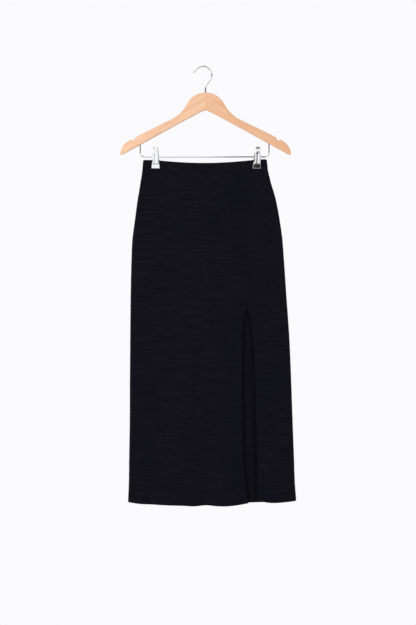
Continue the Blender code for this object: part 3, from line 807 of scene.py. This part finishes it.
def slit_row(outer, normals, column):
    """The stitch row beside a slit edge, from the slit's top to the hem's stitches."""
    top = int(np.searchsorted(panel_drops, SLIT_TOP - SLIT_ROW_START))
    foot = panel_drops.index(SKIRT_LENGTH - HEM_STITCH_AT[0])
    return (outer[:, column] + STITCH_PROUD * normals[:, column])[top:foot]


def bar_tack():
    """A zigzag across the slit's top, 9 mm wide, on the two panels' outer faces."""
    start = SLIT_EDGES[0, 1] - TACK_STEP * TACK_STEPS / 2
    y = float(front_outer[int(np.searchsorted(panel_drops, SLIT_TOP)), -1, 1]) - TACK_PROUD
    points = []
    for step in range(TACK_STEPS + 1):
        x = start + TACK_STEP * step
        drop = SLIT_TOP + TACK_ROWS[step % 2]
        points.append((x, y, float(height_at(x, drop, FRONT_HANG))))
    return points


STITCH_COLUMN = SLIT_COLUMNS.index(SLIT_STITCH_AT)
stitches("front_hem_stitches", hem_rows(front_outer, front_normals))
stitches("side_front_hem_stitches", hem_rows(side_outer, side_normals))
stitches("back_hem_stitches", hem_rows(back_outer, back_normals))
stitches("slit_stitches", [
    slit_row(front_outer, front_normals, -1 - STITCH_COLUMN),
    slit_row(side_outer, side_normals, STITCH_COLUMN),
])
stitches("slit_bar_tack", [bar_tack()], pitch=0.7, length=1.9)

# --- Wooden arms ---
# Two pieces of beech glued at the stem and shaped as one, 12 mm thick, with a strap notch near each end.
# The edges are rounded and the wood is sanded and lacquered clear.

STEM_X = 6.5
WOOD_THICK = 12.0
WOOD_ROUND = 2.6
CROWN_RADIUS = 54.5
CROWN_CENTRE_Z = -121.8
NECK_RADIUS = 95.0
ARM_SLOPE = 0.486
ARM_TOP_AT = (117.0, -150.8)
# Where the straight top ends: the strap notch's steep wall and rounded floor, the bump beyond it and the
# blunt tip, round to the underside, as distance out from the stem and z.
ARM_END = np.array((
    (165.0, -174.5),
    (176.0, -180.2),
    (181.5, -183.0),
    (184.2, -185.6),
    (185.5, -190.2),
    (188.2, -191.8),
    (191.4, -189.9),
    (195.0, -189.8),
    (200.2, -192.6),
    (205.4, -196.1),
    (210.6, -200.8),
    (215.8, -207.7),
    (218.5, -212.9),
    (221.0, -220.0),
    (222.1, -225.2),
    (221.3, -228.0),
    (218.4, -228.4),
    (213.0, -226.4),
))
# The underside from below the stem to the tip, as distance out and z, and how steeply its arms fall.
UNDERSIDE = np.array((
    (0.0, -112.0),
    (12.0, -117.0),
    (70.0, -147.9),
    (213.0, -226.4),
))
UNDERSIDE_SLOPE = 0.55
# Where the arm's straight top has points, and from where on its cuts stand square to it.
STRAIGHT_AT = (130.0, 150.0)
SQUARE_FROM = 60.0
# How the rounded edges are drawn: points on their quarter round, the largest share of an arm's height that
# one takes, and the flat strip beside it. The tips are rounded too, a little less than by a full quarter.
EDGE_POINTS = 9
EDGE_SHARE = 0.42
EDGE_STRIP = 0.5
TIP_SHARE = 0.9
# Where the two boards lie along the grain's pattern, where each lies across it, and how it runs through
# the thickness.
BOARD_START = 80.0
BOARD_ACROSS = 130.0
GRAIN_THROUGH = 0.9
BEECH_PALE = (0.92, 0.60, 0.405, 1.0)
BEECH_DEEP = (0.78, 0.42, 0.235, 1.0)
BEECH_FLECK = (0.62, 0.34, 0.18, 1.0)
# Patterns in the wood: cells a metre along the grain, cells a metre across it, detail, layer.
BROAD_GRAIN = (7.0, 75.0, 3.0, 0.0)
FINE_GRAIN = (30.0, 900.0, 3.0, 3.0)
FLECKS = (260.0, 1500.0, 1.0, 7.0)
PORES = (420.0, 3800.0, 1.0, 5.0)


def arc(centre, radius, start, end, steps):
    """Points of a circular arc in the XZ plane, angles in degrees from +X towards +Z."""
    angles = np.radians(np.linspace(start, end, steps + 1))
    return [(centre[0] + radius * math.cos(a), centre[1] + radius * math.sin(a)) for a in angles]


def rounded(points, steps):
    """More points on a smooth curve through these."""
    distance = np.concatenate(((0.0,), np.cumsum(np.linalg.norm(np.diff(points, axis=0), axis=1))))
    numbers = np.arange(0, (len(points) - 1) * steps + 1) / steps
    places = np.interp(numbers, np.arange(len(points)), distance)
    table = np.column_stack((distance, points))
    return np.column_stack([along(table, column, places) for column in (1, 2)])


def neck_circle():
    """Centre of the circle that rounds the crown into the arm's straight top, outside both."""
    down = np.array((1.0, -ARM_SLOPE)) / math.hypot(1.0, ARM_SLOPE)
    outwards = np.array((-down[1], down[0]))
    crown = np.array((0.0, CROWN_CENTRE_Z))
    start = ARM_TOP_AT + NECK_RADIUS * outwards - crown
    middle = start @ down
    slide = math.sqrt(middle**2 - start @ start + (CROWN_RADIUS + NECK_RADIUS) ** 2) - middle
    return start + slide * down + crown


def arm_cuts():
    """Straight cuts through the right arm from the stem to the tip: each one's end on the arm's top and its
    end on the underside, as distances out and z. They stand upright at the stem and square to the arm
    farther out."""
    neck = neck_circle()
    towards = math.degrees(math.atan2(neck[1] - CROWN_CENTRE_Z, neck[0]))
    foot = 270.0 - math.degrees(math.atan(ARM_SLOPE))
    top = arc((0.0, CROWN_CENTRE_Z), CROWN_RADIUS, 90.0, towards, steps=30)
    top += arc(neck, NECK_RADIUS, towards + 180.0, foot, steps=16)[1:]
    top += [(out, ARM_TOP_AT[1] - ARM_SLOPE * (out - ARM_TOP_AT[0])) for out in STRAIGHT_AT]
    end = rounded(ARM_END, steps=6)
    tip = int(np.argmax(end[:, 0] - ARM_SLOPE * end[:, 1]))
    top = np.concatenate((top, end[:tip]))
    under = np.concatenate((UNDERSIDE[:-1], end[:tip - 1:-1]))
    gap = top[:, 1] - np.interp(top[:, 0], under[:, 0], under[:, 1])
    lean = math.sin(2 * math.atan(UNDERSIDE_SLOPE)) / 2 * smooth_step(top[:, 0], 0.0, SQUARE_FROM)
    out = top[:, 0] - lean * gap
    return top, np.stack((out, np.interp(out, under[:, 0], under[:, 1])), axis=1)


def beech():
    """Beech: pale and even, with fine lines along each arm, short darker flecks and a satin lacquer."""
    made, tree, shader = new_finish("beech")
    length, across = map_places(tree, "grain")
    broad, fine, flecks, pores = (
        noise(tree, length, across, *pattern) for pattern in (BROAD_GRAIN, FINE_GRAIN, FLECKS, PORES)
    )
    # The second board is a little redder than the first. Both also get paler towards the left end and
    # redder towards the right: this is painted light, standing in for the brighter lamp on the left.
    board_tone_and_painted_light = remapped(tree, length, -0.0001, 0.0001, 0.0, 0.17)
    board_tone_and_painted_light = calc(tree, "ADD", board_tone_and_painted_light, remapped(tree, length, -0.33, 0.33, -0.12, 0.44))
    grain = weighed(tree, broad, 0.7, fine, 0.5)
    share = calc(tree, "ADD", remapped(tree, grain, 0.49, 0.75, 0.0, 0.85), board_tone_and_painted_light)
    tone = mixed(tree, share, BEECH_PALE, BEECH_DEEP)
    bumped(tree, shader, weighed(tree, pores, 0.6, fine, 0.4), distance=0.0001, strength=0.35)
    feed(tree, shader, {
        "Base Color": mixed(tree, remapped(tree, flecks, 0.64, 0.76, 0.0, 0.55), tone, BEECH_FLECK),
        "Roughness": remapped(tree, grain, 0.4, 0.8, 0.38, 0.52),
        "Coat Weight": 0.25,
        "Coat Roughness": 0.22,
    })
    return made


def arm_rings():
    """A ring of points round each cut, from the left tip to the right one, with its edges rounded. The wood
    gets thinner just before a tip."""
    top, foot = (np.concatenate((side[:0:-1] * (-1.0, 1.0), side)) for side in arm_cuts())
    length = np.linalg.norm(foot - top, axis=1)[:, None]
    reach = (np.abs(top[:, :1]) - ARM_SLOPE * top[:, 1:]) * math.cos(math.atan(ARM_SLOPE))
    taper = np.maximum(1.0 - (reach.max() - reach) / WOOD_ROUND, 0.0)
    half = WOOD_THICK / 2 - WOOD_ROUND * (1.0 - np.sqrt(1.0 - TIP_SHARE * taper**2))
    turn = np.linspace(0.0, math.pi / 2, EDGE_POINTS)[None, :]
    edge = np.minimum(WOOD_ROUND, EDGE_SHARE * length)
    strip = np.minimum(EDGE_STRIP, 0.1 * (length - 2 * edge))
    inset = np.concatenate((edge * (1.0 - np.cos(turn)), edge + strip), axis=1)
    depth = np.concatenate((half - WOOD_ROUND * (1.0 - np.sin(turn)), half), axis=1)
    inset = np.concatenate((inset, length - inset[:, ::-1]), axis=1)
    depth = np.concatenate((depth, depth[:, ::-1]), axis=1)
    inset = np.concatenate((inset, inset[:, ::-1]), axis=1)
    depth = np.concatenate((-depth, depth[:, ::-1]), axis=1)
    down = ((foot - top) / length)[:, None, :] * inset[..., None] + top[:, None, :]
    return np.stack((STEM_X + down[..., 0], depth, down[..., 1]), axis=-1)


def from_millimetres(name, bm):
    """The object of a bmesh that was drawn in millimetres, with its faces pointing outwards."""
    bmesh.ops.recalc_face_normals(bm, faces=bm.faces)
    bmesh.ops.scale(bm, vec=(MM, MM, MM), verts=bm.verts)
    mesh = bpy.data.meshes.new(name)
    bm.to_mesh(mesh)
    bm.free()
    return placed(name, mesh)


def wooden_arms():
    rings = arm_rings()
    size = rings.shape[1]
    bm = bmesh.new()
    verts = [[bm.verts.new(point) for point in ring] for ring in rings]
    for ring, after in zip(verts[:-1], verts[1:]):
        for k in range(size):
            bm.faces.new((ring[k], ring[(k + 1) % size], after[(k + 1) % size], after[k]))
    bm.faces.new(verts[0])
    bm.faces.new(verts[-1])
    grain = bm.loops.layers.uv.new("grain")
    tilt = math.atan((ARM_SLOPE + UNDERSIDE_SLOPE) / 2)
    for face in bm.faces:
        face.smooth = True
        side = 1.0 if face.calc_center_median().x > STEM_X else -1.0
        for loop in face.loops:
            out, y, z = (loop.vert.co.x - STEM_X) * side, loop.vert.co.y, loop.vert.co.z - UNDERSIDE[0, 1]
            length = out * math.cos(tilt) - z * math.sin(tilt)
            across = out * math.sin(tilt) + z * math.cos(tilt) + GRAIN_THROUGH * y + BOARD_ACROSS * side
            # The two boards lie on either side of zero along the grain.
            loop[grain].uv = ((length + BOARD_START) * side * MM, across * MM)
    obj = from_millimetres("wooden_arms", bm)
    obj.data.materials.append(beech())
    return obj


arms = wooden_arms()
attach(arms, "root")
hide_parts("hanger_wood")

# --- Wire hook ---
# One round steel wire, bent to a hook over a straight stem and chrome plated. Its tip is rounded off and
# turned out a little, and its foot sits in the crown.

HOOK_WIRE = 3.5
HOOK_RADIUS = 23.0
HOOK_END_ANGLE = 150.0
HOOK_NECK_ANGLE = -38.0
HOOK_NECK_RADIUS = 16.0
HOOK_DEPTH_IN_WOOD = 26.0
HOOK_TIP_RADIUS = 8.0
HOOK_TIP_TURN = 52.0
TIP_ROUNDING = (0.28, 0.62, 0.84, 0.96)
CHROME_COLOUR = (0.74, 0.745, 0.76, 1.0)


def chrome():
    """Chrome plate: bright, with a faint unevenness and a few dull rubbed patches."""
    made, tree, shader = new_finish("chrome")
    rubbed = object_noise(tree, 90.0, detail=4.0)
    bumped(tree, shader, object_noise(tree, 1400.0), distance=0.00002, strength=0.15)
    feed(tree, shader, {
        "Base Color": CHROME_COLOUR,
        "Metallic": 1.0,
        "Roughness": remapped(tree, rubbed, 0.40, 0.75, 0.04, 0.11),
    })
    return made


CHROME = chrome()


def plated(obj):
    """Finishes a steel piece: smooth and chrome plated all over."""
    obj.data.materials.clear()
    obj.data.materials.append(CHROME)
    obj.data.shade_smooth()
    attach(obj, "root")
    return obj


def wire(name, points, diameter, sides, rounded_start=False):
    """A round wire through points in millimetres, with closed ends."""
    curve = bpy.data.curves.new(name + "_line", "CURVE")
    curve.dimensions = "3D"
    curve.bevel_depth = diameter / 2 * MM
    curve.bevel_resolution = (sides - 4) // 2
    curve.use_fill_caps = True
    spline = curve.splines.new("POLY")
    spline.points.add(len(points) - 1)
    for target, point in zip(spline.points, points):
        target.co = (*(Vector(point) * MM), 1.0)
    if rounded_start:
        for target, share in zip(spline.points, TIP_ROUNDING):
            target.radius = share
    return plated(plain_mesh(placed(name + "_line", curve), name))


def hook_line():
    """The hook's middle line from its tip to its foot."""
    centre = (0.0, HOOK_WIRE / 2 - HOOK_RADIUS)
    bend = math.radians(-HOOK_NECK_ANGLE)
    over = arc(centre, HOOK_RADIUS, HOOK_END_ANGLE, HOOK_NECK_ANGLE, steps=72)
    tip_centre = arc(centre, HOOK_RADIUS + HOOK_TIP_RADIUS, HOOK_END_ANGLE, HOOK_END_ANGLE, steps=0)[0]
    tip_from = HOOK_END_ANGLE - 180.0
    tip = arc(tip_centre, HOOK_TIP_RADIUS, tip_from - HOOK_TIP_TURN, tip_from, steps=24)[:-1]
    reach = over[-1][0] - STEM_X - HOOK_NECK_RADIUS * (1.0 - math.cos(bend))
    joined_z = over[-1][1] - reach / math.tan(bend)
    neck_centre = (STEM_X + HOOK_NECK_RADIUS, joined_z - HOOK_NECK_RADIUS * math.sin(bend))
    neck = arc(neck_centre, HOOK_NECK_RADIUS, 180.0 + HOOK_NECK_ANGLE, 180.0, steps=14)
    foot = CROWN_CENTRE_Z + CROWN_RADIUS - HOOK_DEPTH_IN_WOOD
    return tip + over + neck + [(STEM_X, foot)]


hook = wire("wire_hook", [(x, 0.0, z) for x, z in hook_line()], HOOK_WIRE, sides=20, rounded_start=True)
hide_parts("hanger_hook")

# --- Wire bar ---
# A thinner chromed wire under the arms, with both ends bent up and pushed into bores in the wood. The clips
# slide along it.

BAR_WIRE = 3.0
BAR_Z = -234.0
BAR_CENTRE_X = 4.1
BAR_HALF_WIDTH = 167.4
BAR_CORNER = 10.4
BAR_DEPTH_IN_WOOD = 14.0

bar_left, bar_right = BAR_CENTRE_X - BAR_HALF_WIDTH, BAR_CENTRE_X + BAR_HALF_WIDTH
left_top, right_top = (
    float(np.interp(abs(x - STEM_X), UNDERSIDE[:, 0], UNDERSIDE[:, 1])) + BAR_DEPTH_IN_WOOD
    for x in (bar_left, bar_right)
)
bar_line = [(bar_left, left_top)]
bar_line += arc((bar_left + BAR_CORNER, BAR_Z + BAR_CORNER), BAR_CORNER, 180.0, 270.0, steps=16)
bar_line += arc((bar_right - BAR_CORNER, BAR_Z + BAR_CORNER), BAR_CORNER, 270.0, 360.0, steps=16)
bar_line += [(bar_right, right_top)]
bar = wire("wire_bar", [(x, 0.0, z) for x, z in bar_line], BAR_WIRE, sides=16)
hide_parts("hanger_bar")

# --- Clip plates ---
# Each clip is two stamped plates of chromed sheet. Two ribs stiffen a plate, its top has a round finger
# hole, its foot is bent into a broad lip that bites the cloth, and ears at its sides hold the bar.

CLIP_SHEET = 1.1
CLIP_TOP = -208.0
# The finger hole's diameter, and where its middle is in Y and Z.
FINGER_HOLE = 8.4
FINGER_HOLE_AT = (10.0, -216.6)
BAR_CLEARANCE = 0.3
# The right clip leans: how far a plate moves out in X for each millimetre up.
CLIP_LEAN = (0.0, 0.05)
# A plate from its finger end down to its lip: distance down, half width, distance of its middle from Y = 0.
CLIP_PLATE = np.array((
    (0.0, 4.4, 10.4),
    (0.4, 4.85, 10.35),
    (1.0, 5.4, 10.27),
    (2.0, 5.95, 10.16),
    (3.2, 6.35, 10.02),
    (4.5, 6.6, 9.88),
    (9.0, 7.1, 9.4),
    (14.0, 7.2, 8.8),
    (21.0, 8.2, 7.88),
    (32.0, 8.6, 7.0),
    (42.0, 9.0, 6.6),
    (44.5, 9.2, 6.4),
    (46.0, 9.6, 5.9),
    (47.5, 9.8, 5.67),
    (55.6, 10.4, 4.5),
    (57.0, 10.4, 4.3),
))
# The plate's rows and columns. They are closer at its edges, where the outermost have a share of the
# sheet's thickness: place counted from the edge, share.
PLATE_ROWS = np.concatenate((
    (0.0, 0.12, 0.35, 0.8, 1.4, 2.1, 3.0, 4.0),
    np.linspace(5.0, 41.0, 37),
    np.linspace(42.0, 47.0, 11),
    np.linspace(48.0, 56.0, 9),
    (56.4, 56.7, 56.88, 57.0),
))
PLATE_COLUMNS = np.concatenate(((-1.0, -0.985, -0.96), np.linspace(-0.93, 0.93, 37), (0.96, 0.985, 1.0)))
PLATE_EDGE = ((1, 0.88), (0, 0.45))
# The finger end is round: how much lower it is at its sides, and how far down that fades out.
TAB_ROUND = 1.3
TAB_FADE = (0.0, 6.0)
# Two ribs: height, place and width as shares of the plate's half width, and where they fade in and out.
RIB_HEIGHT = 0.85
RIB_AT = 0.62
RIB_WIDTH = 0.22
RIB_TOP = (10.0, 33.0)
RIB_FOOT = (41.0, 45.5)
# The plate's sides curl inwards, and its lip ends in teeth.
SIDE_CURL = 1.5
CURL_TOP = (2.0, 8.0)
CURL_FOOT = (44.0, 46.0)
LIP_TEETH = 9
TOOTH = 0.6
TEETH_FROM = (54.5, 57.0)
# The ears: their sheet, how far they are from the middle of the front and of the back plate, and their
# outline, which goes round the bar by this turn up and down.
EAR_SHEET = 1.0
EAR_AT = {FRONT_FACE: 7.7, BACK_FACE: 6.3}
EAR_FOOT = 7.0
EAR_RADIUS = 3.2
EAR_SPREAD = 1.6
EAR_TURN = 1.2


def clip_plate(name, clip_x, lean, face):
    """The bent and ribbed sheet as a closed wall with softened edges."""
    down, u = PLATE_ROWS[:, None], PLATE_COLUMNS[None, :]
    half_width, away = along(CLIP_PLATE, 1, down), along(CLIP_PLATE, 2, down)
    ribs = RIB_HEIGHT * np.exp(-(((np.abs(u) - RIB_AT) / RIB_WIDTH) ** 2))
    ribs = ribs * between(down, RIB_TOP, RIB_FOOT)
    curl = SIDE_CURL * np.abs(u) ** 4 * between(down, CURL_TOP, CURL_FOOT)
    teeth = TOOTH * np.abs(np.sin(u * math.pi * LIP_TEETH / 2)) * smooth_step(down, *TEETH_FROM)
    rounding = TAB_ROUND * np.abs(u) ** 2.4 * (1.0 - smooth_step(down, *TAB_FADE))
    x = clip_x + lean * (CLIP_TOP - down - BAR_Z) + half_width * u
    z = CLIP_TOP - down - rounding + teeth
    grid = np.stack((x, face * (away + ribs - curl), z), axis=-1)
    soft = np.ones(grid.shape[:2])
    for place, share in PLATE_EDGE:
        soft[[place, -1 - place], place : soft.shape[1] - place] = share
        soft[place : len(soft) - place, [place, -1 - place]] = share
    half = (CLIP_SHEET / 2 * soft)[..., None] * grid_normals(grid, face)
    return cloth_shell(name, face, grid + half, grid - half, x, down + 0 * u)


def ear(name, centre_x, face):
    """A side ear of a plate: from the plate's inner side to round the far side of the bar."""
    turns = np.linspace(-EAR_TURN, EAR_TURN, 17)
    outline = [(-face * EAR_RADIUS * math.cos(turn), EAR_RADIUS * math.sin(turn)) for turn in turns]
    corner = EAR_RADIUS + EAR_SPREAD
    outline = [(face * EAR_FOOT, -corner), *outline, (face * EAR_FOOT, corner)]
    bm = bmesh.new()
    verts = [bm.verts.new((centre_x - EAR_SHEET / 2, y, BAR_Z + z)) for y, z in outline]
    made = bmesh.ops.extrude_face_region(bm, geom=[bm.faces.new(verts)])
    moved = [item for item in made["geom"] if isinstance(item, bmesh.types.BMVert)]
    bmesh.ops.translate(bm, vec=(EAR_SHEET, 0.0, 0.0), verts=moved)
    return from_millimetres(name, bm)


def pin(name, centre, axis, diameter, length):
    """A cutter cylinder along X or Y."""
    bm = bmesh.new()
    radius = diameter / 2
    bmesh.ops.create_cone(bm, cap_ends=True, segments=40, radius1=radius, radius2=radius, depth=length)
    quarter = Matrix.Rotation(math.pi / 2, 3, "Y" if axis == "X" else "X")
    bmesh.ops.rotate(bm, matrix=quarter, verts=bm.verts)
    bmesh.ops.translate(bm, vec=centre, verts=bm.verts)
    return from_millimetres(name, bm)


def clip_jaw(name, node, clip_x, lean, face):
    sheet = clip_plate(name + "_sheet", clip_x, lean, face)
    bore = BAR_WIRE + 2 * BAR_CLEARANCE
    hole_y, hole_z = FINGER_HOLE_AT
    hole_at = (clip_x + lean * (hole_z - BAR_Z), face * hole_y, hole_z)
    steps = [(ear(f"ear_{side}", clip_x + side * EAR_AT[face], face), "UNION") for side in (-1, 1)]
    steps.append((pin("bar_hole", (clip_x, 0.0, BAR_Z), "X", bore, length=30.0), "DIFFERENCE"))
    steps.append((pin("finger_hole", hole_at, "Y", FINGER_HOLE, length=6.0), "DIFFERENCE"))
    for other, operation in steps:
        modifier = sheet.modifiers.new(other.name, "BOOLEAN")
        modifier.operation = operation
        modifier.solver = "EXACT"
        modifier.object = other
    jaw = plated(plain_mesh(sheet, name))
    for other, _ in steps:
        bpy.data.objects.remove(other, do_unlink=True)
    jaw.data.set_sharp_from_angle(angle=math.radians(50.0))
    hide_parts(node)


for side_name, clip_x, lean in zip(("left", "right"), CLIP_AT, CLIP_LEAN):
    for face_name, face in (("front", FRONT_FACE), ("back", BACK_FACE)):
        jaw_name = f"{side_name}_clip_{face_name}_plate"
        clip_jaw(jaw_name, f"clip_{side_name}_{face_name}", clip_x, lean, face)

# --- Clip springs ---
# A coil of spring wire round the bar between each pair of plates. Its two legs push the finger ends apart,
# which closes the lips on the cloth.

SPRING_WIRE = 1.2
SPRING_TURNS = 4
SPRING_PITCH = 1.7
SPRING_STEPS = 28
# Where a leg ends: out from the coil along the bar, away from the bar, and up.
SPRING_LEG = (0.6, 7.1, 17.0)


def spring_line(clip_x):
    """The coil from leg to leg. It is half a turn short, so that the legs push opposite plates."""
    radius = BAR_WIRE / 2 + BAR_CLEARANCE + SPRING_WIRE / 2
    start = clip_x - SPRING_PITCH * SPRING_TURNS / 2
    steps = SPRING_STEPS * SPRING_TURNS
    out, away, up = SPRING_LEG
    points = [(start - out, -away, BAR_Z + up)]
    for step in range(steps + 1):
        share = step / steps
        angle = math.pi + math.tau * share * (SPRING_TURNS - 0.5)
        x = start + SPRING_PITCH * SPRING_TURNS * share
        points.append((x, radius * math.cos(angle), BAR_Z + radius * math.sin(angle)))
    points.append((start + SPRING_PITCH * SPRING_TURNS + out, away, BAR_Z + up))
    return points


for side_name, clip_x in zip(("left", "right"), CLIP_AT):
    spring = wire(f"{side_name}_clip_coil", spring_line(clip_x), SPRING_WIRE, sides=10)
    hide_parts(f"clip_{side_name}_spring")

# --- Floor, light and camera ---
# A plain pale floor well below the hem, soft light from the front and the left, and a level camera. Sizes
# are in metres here.

FLOOR_Z = -1.75
FLOOR_RADIUS = 1.15
FLOOR_PALE = (0.84, 0.84, 0.85, 1.0)
AIR_WHITE = (0.960, 0.955, 0.975, 1.0)
# The camera's view: metres a pixel at the hook, pixels across and down, and where the hook's inner top is.
PIXEL = 0.0026
IMAGE = (416, 625)
HOOK_PIXEL = (203.0, 66.9)
CAMERA_DISTANCE = 3.2
SENSOR = 36.0
# What polished metal reflects, as height of the direction from -1 down to 1 up, and brightness: the open
# studio with its white floor and ceiling, and the dark stand of the camera in front of it.
STUDIO = (
    (-1.00, 0.25),
    (-0.40, 0.30),
    (-0.22, 0.88),
    (-0.12, 1.00),
    (0.08, 1.00),
    (0.12, 0.18),
    (0.21, 0.18),
    (0.32, 1.00),
)
STAND = (
    (-1.00, 0.16),
    (-0.30, 0.08),
    (-0.24, 0.01),
    (-0.152, 0.01),
    (-0.140, 0.12),
    (-0.125, 0.15),
    (-0.110, 0.32),
    (-0.055, 0.32),
    (-0.035, 0.13),
    (0.045, 0.12),
    (0.07, 0.03),
    (0.20, 0.03),
)
# Where the stand's left and right sides are, as directions' x. How bright the studio's white is, and from
# where to where in x it gets dimmer on the right, and to what share.
STAND_LEFT = (-0.004, 0.014)
STAND_RIGHT = (0.16, 0.26)
STUDIO_WHITE = 1.65
STUDIO_RIGHT = (0.3, 1.0)
STUDIO_RIGHT_SHARE = 0.55
# The soft light of the air itself, at the far left and at the far right, and its share from straight below
# and from straight above.
AIR = (1.02, 0.52)
AIR_BY_HEIGHT = (1.6, 0.45)


def floor():
    bm = bmesh.new()
    bmesh.ops.create_circle(bm, cap_ends=True, segments=96, radius=FLOOR_RADIUS)
    bmesh.ops.translate(bm, vec=(0.0, 0.0, FLOOR_Z), verts=bm.verts)
    mesh = bpy.data.meshes.new("floor")
    bm.to_mesh(mesh)
    bm.free()
    made, tree, shader = new_finish("pale_floor")
    feed(tree, shader, {"Base Color": FLOOR_PALE, "Roughness": 0.7})
    mesh.materials.append(made)
    return placed("floor", mesh)


def soft_light(name, place, target, size, power):
    light = bpy.data.lights.new(name, "AREA")
    light.shape = "RECTANGLE"
    light.size, light.size_y = size
    light.energy = power
    obj = placed(name, light)
    obj.location = place
    obj.rotation_euler = (Vector(target) - Vector(place)).to_track_quat("-Z", "Y").to_euler()
    obj.visible_glossy = False


def by_height(tree, up, table):
    """A brightness that goes by a table of heights."""
    ramp = add_node(tree, "ShaderNodeValToRGB", {0: remapped(tree, up, -1.0, 1.0, 0.0, 1.0)})
    marks = ramp.color_ramp.elements
    while len(marks) < len(table):
        marks.new(1.0)
    for mark, (height, brightness) in zip(marks, table):
        mark.position = (height + 1.0) / 2
        mark.color = (brightness, brightness, brightness, 1.0)
    return ramp.outputs[0]


def studio_air():
    """A white surround for the camera, and soft light that is brighter on the left than on the right. What
    polished metal reflects is built apart, so that it shows light and dark sides."""
    world = bpy.data.worlds.new("studio")
    bpy.context.scene.world = world
    world.use_nodes = True
    tree = world.node_tree
    place = add_node(tree, "ShaderNodeTexCoord", {})
    right, _, up = add_node(tree, "ShaderNodeSeparateXYZ", {0: place.outputs["Generated"]}).outputs
    across = remapped(tree, right, -1.0, 1.0, *AIR)
    air = calc(tree, "MULTIPLY", across, remapped(tree, up, -1.0, 1.0, *AIR_BY_HEIGHT))

    left_side = remapped(tree, right, *STAND_LEFT, 0.0, 1.0)
    stand = calc(tree, "MINIMUM", left_side, remapped(tree, right, *STAND_RIGHT, 1.0, 0.0))
    studio = calc(tree, "MULTIPLY", by_height(tree, up, STUDIO), calc(tree, "SUBTRACT", 1.0, stand))
    dark = calc(tree, "MULTIPLY", by_height(tree, up, STAND), stand)
    mirrored = calc(tree, "MULTIPLY", calc(tree, "ADD", studio, dark), STUDIO_WHITE)
    dimming = remapped(tree, right, *STUDIO_RIGHT, 1.0, STUDIO_RIGHT_SHARE)
    mirrored = calc(tree, "MULTIPLY", mirrored, dimming)

    rays = add_node(tree, "ShaderNodeLightPath", {}).outputs
    seen = feed(tree, tree.nodes["Background"], {"Color": AIR_WHITE, "Strength": 1.0})
    unseen = add_node(tree, "ShaderNodeMixShader", {
        0: rays["Is Glossy Ray"],
        1: add_node(tree, "ShaderNodeBackground", {"Strength": air}).outputs[0],
        2: add_node(tree, "ShaderNodeBackground", {"Strength": mirrored}).outputs[0],
    })
    whole = {0: rays["Is Camera Ray"], 1: unseen.outputs[0], 2: seen.outputs[0]}
    surface = add_node(tree, "ShaderNodeMixShader", whole).outputs[0]
    feed(tree, tree.nodes["World Output"], {"Surface": surface})


floor()
studio_air()
soft_light("key", place=(-2.2, -2.6, 0.5), target=(0.0, 0.0, -0.6), size=(1.8, 2.2), power=57.0)
soft_light("fill", place=(2.4, -2.8, -1.3), target=(0.0, 0.0, -0.5), size=(1.6, 2.0), power=30.0)

lens = bpy.data.cameras.new("camera")
lens.sensor_width = SENSOR
lens.lens = SENSOR * CAMERA_DISTANCE / (IMAGE[1] * PIXEL)
camera = placed("camera", lens)
camera.location = (
    (IMAGE[0] / 2 - HOOK_PIXEL[0]) * PIXEL,
    -CAMERA_DISTANCE,
    (HOOK_PIXEL[1] - IMAGE[1] / 2) * PIXEL,
)
camera.rotation_euler = (math.pi / 2, 0.0, 0.0)
bpy.context.scene.camera = camera
bpy.context.scene.view_settings.view_transform = "Standard"
